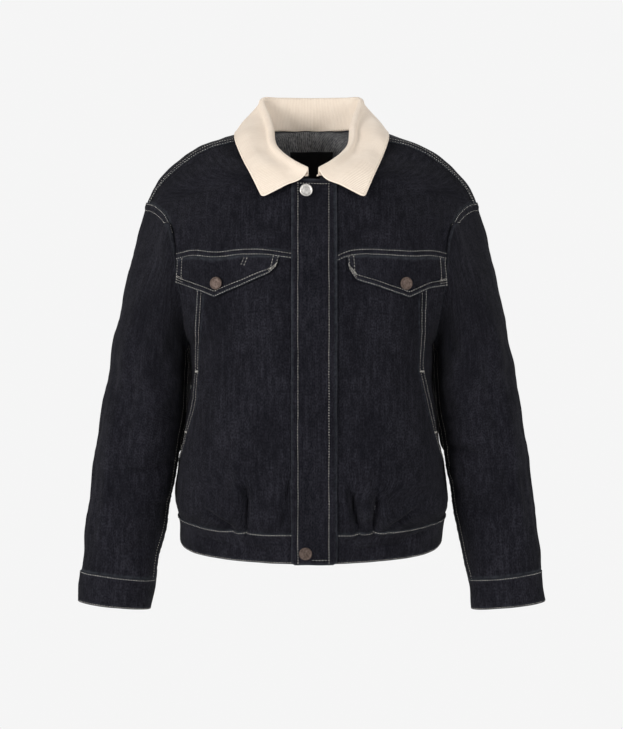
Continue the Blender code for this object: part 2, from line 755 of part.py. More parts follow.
def lifted(along, places, side, lift):
    """Points of the body's front moved out from it."""
    return body(along, places, side) + outer_normals(along, places, side) * lift


def build_placket(look):
    top = KEY["neck_front"] - 2.0
    along = joined(BAND_PLACES, LOWER_PLACES, CHEST_PLACES, spaced(KEY["yoke_seam"], top, 4))
    columns = []
    for x in np.linspace(PLACKET_RIGHT, PLACKET_LEFT, 4):
        side = math.copysign(1.0, x)
        places = across_at(along, abs(x))
        columns.append(np.stack([lifted(along, places, side, LAY_GAP + PLACKET_PLY),
                                 lifted(along, places, side, LAY_GAP)]))
    outer, inner = np.stack(columns, axis=2)
    grid_wall("placket", outer, inner - outer, look)


def build_flap(rows, side, name, look):
    table = np.array(rows)
    key = table[:, 0]
    count = 2 * (len(rows) - 1)
    places = np.interp(np.arange(count + 1) / 2, np.arange(len(rows)), key)
    top_x, top_z, low_x, low_z = (np.interp(places, key, table[:, column]) for column in range(4))
    share = np.linspace(0, 1, STEPS_FLAP + 1)[:, None]
    x = side * (top_x * (1 - share) + low_x * share)
    z = top_z * (1 - share) + low_z * share
    along, across, _ = find_front(x, z)
    lift = LAY_GAP + FLAP_LIFT * share ** 2 * np.ones_like(x)
    base = body(along, across, side)
    normals = outer_normals(along, across, side)
    outer = base + normals * (lift + FLAP_PLY)[..., None]
    grid_wall(name, outer, -normals * FLAP_PLY, look)


def build_sleeve(side, look):
    down = spaced(0.0, CUFF_SEAM, STEPS_SLEEVE)
    top = joined(CHEST_PLACES, YOKE_PLACES, NAPE_PLACES, BLADE_PLACES)
    word = "left" if side > 0 else "right"
    for part, around in (("top", top), ("under", BACK_PLACES)):
        points = sleeve(down[:, None], around, side)
        ways = -sleeve_outer_normals(down[:, None], around, side) * DENIM
        ways[0] = armhole_backs(around, side, DENIM)
        grid_wall("sleeve_" + part + "_" + word, points, ways, look)


def build_cuff(side, look):
    """A band round the wrist whose outer end laps over its inner end at the back seam."""
    word = "left" if side > 0 else "right"
    span = SLEEVE_END - SLEEVE_START
    turn = joined(BACK_PLACES, span + joined(CHEST_PLACES, YOKE_PLACES, NAPE_PLACES, BLADE_PLACES))
    lap = SLEEVE_SPLIT + span + np.array(CUFF_LAP)
    around = np.concatenate([turn, lap])
    rise = np.zeros(len(around))
    rise[-3:] = BAND + SEAM_GAP + LAY_GAP
    rise[-4] = rise[-1] / 2
    down = spaced(CUFF_SEAM, CUFF_END, 2)[:, None]
    normals = sleeve_outer_normals(down, around, side)
    points = sleeve(down, around, side) + normals * rise[:, None]
    grid_wall("cuff_" + word, points, -normals * BAND, look)
    spot = np.array([around[-2]])
    middle = np.array([(CUFF_SEAM + CUFF_END) / 2])
    normal = sleeve_outer_normals(middle, spot, side)[0]
    return sleeve(middle, spot, side)[0] + normal * (rise[-1] + BUTTON_GAP), normal


def collar_half(side, along, across_shares):
    """Points of half the collar and the ways to its under side, front end to middle back."""
    stations = [NECK_END] + [KEY[row[0]] for row in COLLAR_ROWS[1:]]
    table = [(*row[1], row[2], *row[3]) for row in COLLAR_ROWS]
    values = smooth_table(stations, table, along)
    roll, edge = values[:, :3].copy(), values[:, 4:].copy()
    heading = np.radians(values[:, 3])
    out = np.stack([np.cos(heading), np.sin(heading), 0 * heading], axis=-1)
    share = (along - along[0]) / (along[-1] - along[0])
    for part in (roll, edge, out):
        part[:, 0] *= side
    foot = body(along, 0.0, side)
    beyond = unit(body(along, 0.02, side) - foot)
    foot = foot + outer_normals(along, 0.0, side) * COLLAR_FOOT_GAP
    shift = np.zeros_like(roll)
    shift[:, 0] = COLLAR_SHIFT * (1 - share) ** 4
    bulge = COLLAR_BULGE[0] * (1 - share) + COLLAR_BULGE[1] * share
    up = np.array([0.0, 0.0, 1.0])
    spine = [
        foot,
        roll + shift - out * COLLAR_ROLL - up * COLLAR_ROLL * 1.2,
        roll + shift - out * COLLAR_ROLL * 0.72 - up * COLLAR_ROLL * 0.3,
        roll + shift,
        roll + shift + out * COLLAR_ROLL * 0.72 - up * COLLAR_ROLL * 0.3,
        roll + shift + out * COLLAR_ROLL - up * COLLAR_ROLL * 1.2,
        (roll + out * COLLAR_ROLL + edge) / 2 + shift + out * bulge[:, None],
        edge + shift,
    ]
    points = smooth_table(COLLAR_SPINE_SHARES, spine, across_shares)
    return points, beyond


def build_collar(look):
    along = joined(COLLAR_FRONT_PLACES, NAPE_PLACES)
    steps = len(along) - 1
    right, right_foot = collar_half(-1.0, along, COLLAR_GRID_SHARES)
    left, left_foot = collar_half(1.0, along, COLLAR_GRID_SHARES)
    points = np.concatenate([right, left[:, -2::-1]], axis=1)
    foot = np.concatenate([right_foot, left_foot[-2::-1]])
    points[:, steps, 0] = 0.0
    run_across = np.gradient(points, axis=0)
    run_along = np.gradient(points, axis=1)
    normals = unit(np.cross(run_along, run_across))
    # The under side lies away from the neck on the stand, which is the way the body runs
    sense = np.sign((normals[3] * foot).sum(axis=-1).mean())
    ways = normals * sense * COLLAR_PLY
    foot[steps] = (foot[steps - 1] + foot[steps + 1]) / 2
    ways[0] = unit(foot) * COLLAR_PLY
    ways[:, steps, 0] = 0.0
    rows, columns = points.shape[:2]
    index = np.arange(rows * columns).reshape(rows, columns)
    faces = grid_faces(rows, columns, index)
    wall("collar", points.reshape(-1, 3), (points + ways).reshape(-1, 3), faces, look)


def build_label(look):
    top = np.array([KEY["neck_back"] + LABEL_TOP, KEY["neck_back"] + LABEL_BOTTOM])
    along = spaced(top[0], top[1], 2)
    columns = []
    for x in np.linspace(-LABEL_HALF, LABEL_HALF, 5):
        places = across_at(along, abs(x))
        side = -1.0 if x < 0 else 1.0
        columns.append(np.stack([lifted(along, places, side, -DENIM - LABEL_GAP - LABEL_PLY),
                                 lifted(along, places, side, -DENIM - LABEL_GAP)]))
    outer, inner = np.stack(columns, axis=2)
    outer[:, 2, 0] = 0.0
    inner[:, 2, 0] = 0.0
    grid_wall("neck_label", outer, inner - outer, look)


# ---------------------------------------------------------------- buttons

# A turned jeans button, from the middle of its underside to the middle of its top.
# share of the radius, height
BUTTON_PROFILE = [
    (0.74, 0.0),
    (1.0, 1.1),
    (1.0, 2.2),
    (0.85, 3.2),
    (0.64, 2.6),
]
BUTTON_TOP_HEIGHT = 3.1
BUTTON_SIDES = 16


def build_button(name, centre, normal, look):
    """Turns the profile about the normal of the cloth under the button."""
    normal = unit(np.asarray(normal, float))
    level = unit(np.cross([0.0, 0.0, 1.0], normal))
    upright = np.cross(normal, level)
    points = [centre]
    for share, height in BUTTON_PROFILE:
        for turn in range(BUTTON_SIDES):
            angle = math.tau * turn / BUTTON_SIDES
            radial = level * math.cos(angle) + upright * math.sin(angle)
            points.append(centre + radial * share * BUTTON_RADIUS + normal * height)
    points.append(centre + normal * BUTTON_TOP_HEIGHT)
    top = len(points) - 1
    faces = []
    for turn in range(BUTTON_SIDES):
        after = (turn + 1) % BUTTON_SIDES
        faces.append((0, 1 + after, 1 + turn))
        for level_number in range(len(BUTTON_PROFILE) - 1):
            low = 1 + level_number * BUTTON_SIDES
            high = low + BUTTON_SIDES
            faces.append((low + turn, low + after, high + after, high + turn))
        last = 1 + (len(BUTTON_PROFILE) - 1) * BUTTON_SIDES
        faces.append((last + turn, last + after, top))
    solid(name, points, faces, look)


def front_spot(x, z, lift):
    """A place on the front moved out from the cloth, and the way out."""
    along, across, side = find_front(np.array([x]), np.array([z]))
    normal = outer_normals(along, across, side)[0]
    return body(along, across, side)[0] + normal * lift, normal


# ---------------------------------------------------------------- the jacket

for old in list(bpy.data.objects):
    bpy.data.objects.remove(old)

denim = material("denim", (0.012, 0.014, 0.022), 0.85)
corduroy = material("corduroy", (0.82, 0.74, 0.60), 0.9)
black_cloth = material("label_cloth", (0.01, 0.01, 0.011), 0.7)
bronze = material("bronze", (0.16, 0.11, 0.08), 0.4, 1.0)
pewter = material("pewter", (0.62, 0.60, 0.57), 0.35, 1.0)

build_front(1.0, "front_left", denim)
build_front(-1.0, "front_right", denim)
build_side(1.0, "side_left", denim)
build_side(-1.0, "side_right", denim)
build_front_yoke(1.0, "front_yoke_left", denim)
build_front_yoke(-1.0, "front_yoke_right", denim)
build_back_yoke(denim)
build_back(denim)
build_waistband(denim)
build_placket(denim)
build_flap(FLAP_LEFT_ROWS, 1.0, "flap_left", denim)
build_flap(FLAP_RIGHT_ROWS, -1.0, "flap_right", denim)
build_collar(corduroy)
build_label(black_cloth)

for half, word in ((1.0, "left"), (-1.0, "right")):
    build_sleeve(half, denim)
    cuff_spot, cuff_normal = build_cuff(half, denim)
    build_button("button_cuff_" + word, cuff_spot, cuff_normal, bronze)

placket_lift = LAY_GAP + PLACKET_PLY + BUTTON_GAP
flap_lift = LAY_GAP + FLAP_LIFT * FLAP_BUTTON_SHARE + FLAP_PLY + BUTTON_GAP
build_button("button_top", *front_spot(*BUTTON_TOP, placket_lift), pewter)
build_button("button_bottom", *front_spot(*BUTTON_BOTTOM, placket_lift), bronze)
build_button("button_flap_left", *front_spot(*FLAP_LEFT_BUTTON, flap_lift), bronze)
build_button("button_flap_right", *front_spot(*FLAP_RIGHT_BUTTON, flap_lift), bronze)
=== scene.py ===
import math
import bpy
import numpy as np
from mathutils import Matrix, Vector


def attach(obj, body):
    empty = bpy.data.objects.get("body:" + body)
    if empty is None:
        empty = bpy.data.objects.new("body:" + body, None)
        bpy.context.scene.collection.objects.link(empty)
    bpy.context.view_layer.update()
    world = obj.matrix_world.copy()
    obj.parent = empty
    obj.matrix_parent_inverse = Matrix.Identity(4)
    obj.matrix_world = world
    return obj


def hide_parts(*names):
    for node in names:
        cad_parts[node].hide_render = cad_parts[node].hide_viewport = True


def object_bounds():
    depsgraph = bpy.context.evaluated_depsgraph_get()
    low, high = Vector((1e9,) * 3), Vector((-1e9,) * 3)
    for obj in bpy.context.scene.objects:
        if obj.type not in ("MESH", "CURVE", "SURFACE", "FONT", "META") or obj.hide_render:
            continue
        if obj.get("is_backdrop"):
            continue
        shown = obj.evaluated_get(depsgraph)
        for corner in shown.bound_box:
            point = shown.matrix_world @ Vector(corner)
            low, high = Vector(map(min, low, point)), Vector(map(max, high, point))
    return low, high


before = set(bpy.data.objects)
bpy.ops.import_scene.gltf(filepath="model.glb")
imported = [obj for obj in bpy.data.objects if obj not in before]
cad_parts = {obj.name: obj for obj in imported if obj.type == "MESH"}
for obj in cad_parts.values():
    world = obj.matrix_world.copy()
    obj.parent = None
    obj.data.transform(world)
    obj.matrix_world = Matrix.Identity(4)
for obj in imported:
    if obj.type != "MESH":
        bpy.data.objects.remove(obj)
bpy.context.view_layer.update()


# ---------------------------------------------------------------- front panels
# The two front panels of heavy dark indigo denim, lapped over the side panels at a slanted
# seam and sewn there with two rows of ecru thread. Every panel of the body is a stretch of
# one surface, worked out here in millimetres. The meshes are made in metres.

MM = 0.001
# How square the body is in plan, and how far from its middle plane a fold has its full height
SQUARENESS = 0.62
FACE_DEPTH = 40.0
# Rounds of halving that find a place on the surface
HALVINGS = 32

# name, side x, side z, front y, front z, back y, back z, front puff, back puff
LOW_ROWS = [
    ("band_bottom", 184, -575, -120, -596, 104, -579, 0, 0),
    ("band_top", 187, -537, -127, -557, 109, -541, 0, 0),
    ("blouse", 192, -524, -130, -541, 117, -525, 9, 6),
    ("low", 187, -470, -131, -480, 116, -470, 6, 3),
    ("mid", 177, -395, -131, -400, 118, -395, 2, 0),
    ("waist", 171, -340, -134, -340, 121, -340, 0, 0),
    ("underarm", 172, -300, -136, -300, 122, -300, 0, 0),
]
# name, middle (x, y, z), its handle (dx, dy, dz), armhole edge (x, y, z), its handle (dx, dy, dz)
HIGH_ROWS = [
    ("chest_low", (0, -135, -268), (108, 0, -2), (175, -36, -287), (-8, -56, 4)),
    ("chest_mid", (0, -132.5, -235), (108, 0, -2), (181, -58, -258), (-25, -46, 6)),
    ("chest_high", (0, -129, -205), (106, 0, -1), (188, -70, -215), (-40, -38, 3)),
    ("yoke_seam", (0, -125, -176), (104, 0, 8), (190, -73, -171), (-46, -38, 1)),
    ("yoke_mid", (0, -117, -140), (100, 2, 5), (193, -68, -141), (-50, -36, 4)),
    ("yoke_high", (0, -108, -104), (92, 2, 4), (201, -54, -119), (-55, -36, 12)),
    ("neck_front", (0, -100, -74), (78, 2, 2), (211, -39, -108), (-58, -37, 24)),
    ("neck_side", (44, -84, -60), (52, -6, 3), (219, -27, -102), (-52, -35, 36)),
    ("neck_slope", (66, -46, -33), (56, -6, 3), (225, -18, -99), (-36, -20, 53)),
    ("shoulder_seam", (75, -12, -1), (79, -10, -7), (229, -11, -98), (-24, -6, 51)),
    ("ridge", (76, 6, 8), (80, -2, -12), (234, 3, -96), (-20, 0, 56)),
    ("nape_side", (68, 36, 12), (72, 4, -11), (222, 30, -103), (-23, 10, 52)),
    ("nape", (40, 54, 13), (62, 4, -4), (211, 50, -118), (-38, 13, 48)),
    ("neck_back", (0, 60, 13), (60, 0, 0), (203, 62, -140), (-46, 20, 52)),
    ("blade_high", (0, 84, -62), (80, 0, 0), (198, 70, -162), (-50, 24, 44)),
    ("back_yoke_seam", (0, 107, -165), (92, 0, 0), (195.5, 75, -188), (-50, 31, 14)),
    ("blade_mid", (0, 115, -215), (100, 0, 0), (192, 70, -230), (-44, 40, 8)),
    ("blade_low", (0, 119, -262), (106, 0, 0), (185, 46, -275), (-18, 54, 6)),
]
# row, place of the front seam, place of the back seam, counted round from the middle of the
# front: 1 is the side, 2 is the middle of the back
SIDE_SEAMS = [
    ("band_bottom", 1.06, 1.31),
    ("band_top", 1.06, 1.30),
    ("low", 1.01, 1.24),
    ("mid", 0.84, 1.14),
    ("waist", 0.69, 1.06),
    ("underarm", 0.65, 1.0),
    ("chest_high", 0.66, 1.0),
    ("yoke_seam", 0.67, 1.0),
]
# The largest folds, then the sharper creases and soft hollows that the photo shows, or
# that match them where it shows nothing.
# face, x and z where it starts, x and z where it ends, width, height (less than 0 is a trough)
BODY_FOLDS = [
    ("front", -91, -490, -91, -556, 9, -7.5),
    ("front", -103, -440, -104, -512, 11, 3.5),
    ("front", -142, -524, -108, -548, 9, -2.5),
    ("front", 54, -498, 63, -556, 9, -7.0),
    ("front", 90, -504, 86, -556, 9, -7.0),
    ("front", 73, -478, 75, -540, 9, 4.5),
    ("front", 110, -522, 140, -512, 9, -2.5),
    ("front", 100, -116, 56, -164, 12, -2.0),
    ("front", -140, -390, -60, -470, 20, 2.5),
    ("front", 150, -380, 70, -440, 20, 2.5),
    ("back", -95, -470, -92, -540, 12, -5.0),
    ("back", 95, -462, 98, -540, 12, -5.0),
    ("back", -40, -455, -36, -530, 13, 3.0),
    ("back", 48, -450, 42, -530, 13, 3.0),
    ("back", -150, -330, -60, -380, 18, -3.0),
    ("back", 150, -336, 66, -372, 18, -3.0),
]
BODY_CREASES = [
    ("front", -89.5, -478, -88.5, -562, 3.0, -5.6),
    ("front", -99, -466, -98, -560, 6.5, 4.4),
    ("front", -77, -500, -76, -560, 8.0, -1.8),
    ("front", -30, -474, -38, -552, 3.6, -4.2),
    ("front", -38, -476, -46, -550, 5.0, 1.8),
    ("front", -150, -520, -98, -558, 3.2, -4.4),
    ("front", -152, -511, -108, -545, 5.0, 2.6),
    ("front", 51, -486, 66, -562, 3.0, -5.6),
    ("front", 42, -484, 56, -560, 6.0, 4.0),
    ("front", 91, -492, 83, -562, 3.0, -5.6),
    ("front", 100, -490, 93, -558, 6.0, 3.8),
    ("front", 100, -553, 148, -520, 3.2, -4.6),
    ("front", 104, -542, 150, -511, 5.0, 2.8),
    ("front", -164, -560, -104, -575, 2.6, -3.0),
    ("front", -96, -571, -44, -578, 2.6, -2.6),
    ("front", -150, -572, -92, -585, 3.0, 1.8),
    ("front", 48, -577, 132, -570, 2.6, -3.0),
    ("front", 118, -566, 168, -552, 2.6, -2.6),
    ("front", 60, -587, 120, -581, 3.0, 1.8),
    ("back", -120, -556, -40, -562, 3.2, -1.6),
    ("back", 30, -560, 116, -556, 3.2, -1.5),
    ("front", 97, -118, 55, -164, 6.0, -1.2),
    ("front", -60, -250, -44, -330, 12, 0.9),
    ("front", -122, -262, -96, -380, 14, -0.9),
    ("front", 66, -262, 84, -345, 13, -0.9),
    ("front", 118, -300, 92, -430, 14, 0.9),
    ("front", -156, -330, -120, -352, 7, -1.3),
    ("front", 158, -322, 128, -352, 7, -1.3),
    ("front", -50, -388, -40, -470, 11, 0.8),
    ("front", 44, -392, 50, -468, 11, -0.8),
    ("front", -188, -116, -178, -150, 5.0, -2.6),
    ("front", -178, -112, -170, -148, 5.0, 1.2),
    ("front", 186, -118, 178, -152, 5.0, -2.0),
    ("front", -120, -80, -84, -128, 14, -0.8),
    ("front", 66, -84, 100, -138, 14, 0.7),
    ("back", -96, -478, -92, -540, 4.0, -2.8),
    ("back", 95, -470, 98, -540, 4.0, -2.8),
    ("back", -150, -470, -128, -538, 6.0, -2.0),
    ("back", 146, -476, 132, -538, 6.0, -2.0),
    ("back", -62, -500, -58, -540, 4.5, -1.8),
    ("back", 22, -492, 26, -540, 4.5, -1.8),
    ("back", -140, -330, -66, -376, 7.0, -1.5),
    ("back", 142, -338, 72, -370, 7.0, -1.5),
    ("back", -150, -262, -70, -300, 12, 1.2),
    ("back", 150, -268, 64, -304, 12, 1.2),
    ("back", -30, -220, -18, -330, 16, -1.0),
    ("back", 36, -230, 26, -350, 16, 1.0),
    ("back", -110, -110, -40, -150, 14, 0.9),
    ("back", 112, -104, 44, -148, 14, -0.9),
]


def row_table():
    """Names and control points of all rows, front hem to back hem."""
    names = [row[0] for row in LOW_ROWS] + [row[0] for row in HIGH_ROWS]
    names += ["back_" + row[0] for row in reversed(LOW_ROWS)]
    lows = []
    for back in (False, True):
        for row in reversed(LOW_ROWS) if back else LOW_ROWS:
            side_x, side_z, front_y, front_z, back_y, back_z, front_puff, back_puff = row[1:]
            y, z, puff = (back_y, back_z, back_puff) if back else (front_y, front_z, -front_puff)
            handle_z = side_z + SQUARENESS * (z - side_z)
            lows.append([(0, y, z), (SQUARENESS * side_x, y + puff, z),
                         (side_x, SQUARENESS * y + puff * 0.5, handle_z), (side_x, 0, side_z)])
    highs = []
    for row in HIGH_ROWS:
        middle, reach, edge, lean = (np.array(part, float) for part in row[1:])
        highs.append([middle, middle + reach, edge + lean, edge])
    count = len(LOW_ROWS)
    return names, np.array(lows[:count] + highs + lows[count:], float)


ROW_NAMES, ROW_CONTROLS = row_table()
row_steps = np.linalg.norm(np.diff(ROW_CONTROLS, axis=0), axis=2).mean(axis=1)
row_steps[1 - len(LOW_ROWS):] = row_steps[:len(LOW_ROWS) - 1][::-1]
ROW_KEYS = np.concatenate([[0.0], np.cumsum(row_steps)])
KEY = dict(zip(ROW_NAMES, ROW_KEYS))
END_KEY = ROW_KEYS[-1]


# row, control point and axes where the surface has a corner from row to row
ROW_BREAKS = [
    ("underarm", 3, [0, 1, 2]),
    ("underarm", 2, [0]),
    ("back_underarm", 3, [0, 1, 2]),
    ("back_underarm", 2, [0]),
    ("neck_front", 0, [0]),
    ("neck_back", 0, [0, 1, 2]),
]


def slopes_of(keys, values):
    """The chords between values, and a smooth slope at each value."""
    steps = np.diff(keys).reshape((-1,) + (1,) * (values.ndim - 1))
    chords = np.diff(values, axis=0) / steps
    blend = steps[1:] / (steps[:-1] + steps[1:])
    between = chords[:-1] * blend + chords[1:] * (1 - blend)
    return chords, np.concatenate([chords[:1], between, chords[-1:]])


def row_slopes():
    """Slopes of the control points before and after each row."""
    chords, before = slopes_of(ROW_KEYS, ROW_CONTROLS)
    after = before.copy()
    for name, control, axes in ROW_BREAKS:
        row = ROW_NAMES.index(name)
        before[row, control, axes] = chords[row - 1, control, axes]
        after[row, control, axes] = chords[row, control, axes]
    return before, after


SLOPES_BEFORE, SLOPES_AFTER = row_slopes()


def hermite(keys, values, before, after, place):
    """A smooth curve through the values, read at each place along the keys."""
    cell = np.clip(np.searchsorted(keys, place, side="right") - 1, 0, len(keys) - 2)
    step = keys[cell + 1] - keys[cell]
    share = (place - keys[cell]) / step
    extra = (1,) * (values.ndim - 1)
    share = share.reshape(share.shape + extra)
    step = step.reshape(step.shape + extra)
    square, cube = share ** 2, share ** 3
    return ((2 * cube - 3 * square + 1) * values[cell] + (3 * square - 2 * cube) * values[cell + 1]
            + (cube - 2 * square + share) * step * after[cell]
            + (cube - square) * step * before[cell + 1])


def smooth_table(keys, values, place):
    """hermite with slopes taken from the table itself."""
    keys, values = np.array(keys, float), np.array(values, float)
    slopes = slopes_of(keys, values)[1]
    return hermite(keys, values, slopes, slopes, np.asarray(place, float))


def together(*lists):
    """The same arrays as floats, all of one shape."""
    return np.broadcast_arrays(*(np.asarray(values, float) for values in lists))


def unit(vectors):
    return vectors / np.maximum(np.linalg.norm(vectors, axis=-1, keepdims=True), 1e-9)


def ease(share):
    """A soft step from 0 to 1."""
    share = np.clip(share, 0, 1)
    return share ** 2 * (3 - 2 * share)


def plain_body(along, across, side):
    """The body before its folds: across is 0 at the middle, 1 at the side or armhole."""
    along, across, side = together(along, across, side)
    controls = hermite(ROW_KEYS, ROW_CONTROLS, SLOPES_BEFORE, SLOPES_AFTER, along)
    share = np.abs(across)[..., None]
    rest = 1 - share
    points = (rest ** 3 * controls[..., 0, :] + 3 * share * rest ** 2 * controls[..., 1, :]
              + 3 * share ** 2 * rest * controls[..., 2, :] + share ** 3 * controls[..., 3, :])
    points[..., 0] *= side * np.where(across < 0, -1, 1)
    return points


def normals_of(surface, first, second, side, step_first, step_second, sense):
    """Normals of a surface by small steps both ways, for one half of the jacket."""
    first, second, side = together(first, second, side)
    run_first = surface(first + step_first, second, side) - surface(first - step_first, second, side)
    run_second = surface(first, second + step_second, side) - surface(first, second - step_second, side)
    return unit(np.cross(run_first, run_second)) * (side * sense)[..., None]


def fold_heights(flat, folds):
    """A soft ridge or trough along each line of a flat chart."""
    height = np.zeros(flat.shape[:-1])
    for start_u, start_v, end_u, end_v, width, rise in folds:
        start = np.array([start_u, start_v], float)
        line = np.array([end_u, end_v], float) - start
        share = np.clip(((flat - start) @ line) / (line @ line), 0, 1)
        away = np.linalg.norm(flat - start - share[..., None] * line, axis=-1)
        height += rise * (1 - (2 * share - 1) ** 4) * np.exp(-(away / width) ** 2)
    return height


def slack(points):
    """The slight unevenness of worn cloth: long, shallow waves that never quite repeat."""
    x, y, z = np.moveaxis(points, -1, 0)
    broad = np.sin(0.061 * x + 0.043 * z + 1.3 * np.sin(0.021 * z + 0.017 * y))
    cross = np.sin(0.083 * z - 0.052 * x + 0.9 * np.sin(0.033 * x + 0.4) + 0.05 * y)
    small = np.sin(0.19 * x + 0.11 * z + 1.9 * np.sin(0.071 * z)) * np.sin(0.13 * z + 0.09 * y + 1.0)
    return 0.75 * broad + 0.6 * cross + 0.35 * small


def body(along, across, side):
    """The outer surface of the body with its folds and creases."""
    along, across, side = together(along, across, side)
    points = plain_body(along, across, side)
    heights = slack(points)
    flat = points[..., [0, 2]]
    for face, sign in (("front", -1), ("back", 1)):
        folds = [row[1:] for row in BODY_FOLDS + BODY_CREASES if row[0] == face]
        weight = np.clip(sign * points[..., 1] / FACE_DEPTH, 0, 1)
        heights += fold_heights(flat, folds) * weight
    plain_normals = normals_of(plain_body, along, across, side, 1.0, 0.01, -1)
    return points + plain_normals * heights[..., None]


def body_normals(along, across, side):
    return normals_of(body, along, across, side, 0.8, 0.004, -1)


def ring(along, around, side, surface=body):
    """The body below the underarm, counted on round the side to the middle of the back."""
    along, around, side = together(along, around, side)
    behind = around > 1
    return surface(np.where(behind, END_KEY - along, along), np.where(behind, 2 - around, around), side)


def ring_normals(along, around, side):
    return ring(along, around, side, body_normals)


def across_at(along, distance):
    """The place across a row where it is this far from the middle."""
    low, high = np.zeros_like(along), np.ones_like(along)
    for _ in range(HALVINGS):
        middle = (low + high) / 2
        short = plain_body(along, middle, 1.0)[..., 0] < distance
        low, high = np.where(short, middle, low), np.where(short, high, middle)
    return (low + high) / 2


def find_front(x, z):
    """Where the front surface has this x and z: place along, and place across."""
    distance = np.abs(np.asarray(x, float))
    low = np.full(distance.shape, KEY["band_bottom"])
    high = np.full(distance.shape, KEY["shoulder_seam"])
    for _ in range(HALVINGS):
        middle = (low + high) / 2
        below = plain_body(middle, across_at(middle, distance), 1.0)[..., 2] < z
        low, high = np.where(below, middle, low), np.where(below, high, middle)
    along = (low + high) / 2
    return along, across_at(along, distance)


def side_seam(along, column):
    return np.interp(along, [KEY[row[0]] for row in SIDE_SEAMS], [row[column] for row in SIDE_SEAMS])


# The ply that shows, the mesh's pitch, and the grid lines by an edge: the edge itself, its
# rounding, the two rows of stitches a quarter of an inch apart, and the foot of the lap.
PLY = 1.3
PITCH = 3.4
SEAM_HALF = 0.15
PLAIN_EDGE = (0.0, 0.5)
FIRST_ROW, SECOND_ROW = 1.7, 8.1
SEWN_EDGE = (0.0, 0.5, FIRST_ROW, 4.9, SECOND_ROW, 9.7, 11.4)
FIRST_LINE, SECOND_LINE = 2, 4
LAP_RISE = 1.6
LAP_FOOT, LAP_SLOPE = SEWN_EDGE[-1], 2.1
PUCKER, PUCKER_REACH = 0.34, 9.0
# Degrees between two faces above which the edge between them looks sharp
SHARP_EDGE = 48
# The rounding of a cut edge, as a share of the ply and its width, and how far wear reaches
ROUNDED_SHARE, ROUNDED_WIDTH = 0.32, 0.5
WEAR_REACH, RIDGE_REACH, RIDGE_WEAR = 2.2, 1.6, 0.45
ALL_EDGES = ("left", "right", "low", "high")


def spread(lengths, near, far, pitch=PITCH):
    """Shares along lines of these lengths: set distances from both ends, even steps between."""
    lengths = np.atleast_1d(np.asarray(lengths, float))
    steps = max(2, int(round((lengths.mean() - near[-1] - far[-1]) / pitch)))
    start, end = near[-1] / lengths, 1 - far[-1] / lengths
    middle = start[:, None] + (end - start)[:, None] * np.linspace(0, 1, steps + 1)
    first = np.array(near[:-1]) / lengths[:, None]
    last = 1 - np.array(far[-2::-1]) / lengths[:, None]
    return np.concatenate([first, middle, last], axis=1)


def rows_between(start, end, near, far, pitch=PITCH):
    return start + (end - start) * spread(end - start, near, far, pitch)[0]


def places_between(surface, along, start, end, side, near, far, pitch=PITCH):
    """Places across each row, from a start to an end given row by row."""
    share = np.linspace(0, 1, 33)
    line = surface(along[:, None], start[:, None] * (1 - share) + end[:, None] * share, side)
    lengths = np.linalg.norm(np.diff(line, axis=1), axis=2).sum(axis=1)
    share = spread(lengths, near, far, pitch)
    return start[:, None] * (1 - share) + end[:, None] * share


def stepped(surface, along, place, side, distance):
    """The place this many millimetres further across."""
    reach = surface(along, place + 0.005, side) - surface(along, place - 0.005, side)
    return place + distance * 0.01 / np.linalg.norm(reach, axis=-1)


def chart(points):
    """Distances across and along a grid, from its first column and its first row."""
    across = np.linalg.norm(np.diff(points, axis=1), axis=2).cumsum(axis=1)
    along = np.linalg.norm(np.diff(points, axis=0), axis=2).cumsum(axis=0)
    return np.pad(across, ((0, 0), (1, 0))), np.pad(along, ((1, 0), (0, 0)))


def grid_quads(index):
    corners = [index[:-1, :-1], index[:-1, 1:], index[1:, 1:], index[1:, :-1]]
    return np.stack(corners, axis=-1).reshape(-1, 4)


def rim_quads(faces, count):
    """Faces between the free edges of a sheet and those of its copy, count corners on."""
    starts, ends = faces.reshape(-1), np.roll(faces, -1, axis=1).reshape(-1)
    backwards = set(zip(ends.tolist(), starts.tolist()))
    free = [(a, b) for a, b in zip(starts.tolist(), ends.tolist()) if (a, b) not in backwards]
    return np.array([(b, a, a + count, b + count) for a, b in free])


def new_object(name, data):
    made = bpy.data.objects.new(name, data)
    bpy.context.scene.collection.objects.link(made)
    return made


def cloth_mesh(name, outer, inner, faces, flat, edge, looks):
    """A closed thin shell: its outside, its inside and rims, with a chart in metres."""
    count = len(outer)
    points = np.concatenate([outer, inner]) * MM
    rims = rim_quads(faces, count)
    whole = np.concatenate([faces, faces[:, ::-1] + count, rims])
    corners = points[whole]
    volume = np.einsum("ij,ij->i", corners[:, 0], np.cross(corners[:, 1], corners[:, 2])).sum()
    volume += np.einsum("ij,ij->i", corners[:, 0], np.cross(corners[:, 2], corners[:, 3])).sum()
    if volume < 0:
        whole = whole[:, ::-1]
    mesh = bpy.data.meshes.new(name)
    mesh.from_pydata(points.tolist(), [], whole.tolist())
    for look in looks:
        mesh.materials.append(look)
    slots = np.zeros(len(whole), dtype=np.int32)
    slots[len(faces):2 * len(faces)] = len(looks) - 1
    mesh.polygons.foreach_set("material_index", slots)
    uv = mesh.uv_layers.new(name="cloth")
    both = np.concatenate([flat, flat]) * MM
    uv.data.foreach_set("uv", both[whole.reshape(-1)].reshape(-1))
    worn = mesh.attributes.new("edge", "FLOAT", "POINT")
    worn.data.foreach_set("value", np.concatenate([edge, edge]))
    mesh.update()
    mesh.shade_smooth()
    mesh.set_sharp_from_angle(angle=math.radians(SHARP_EDGE))
    return new_object(name, mesh)


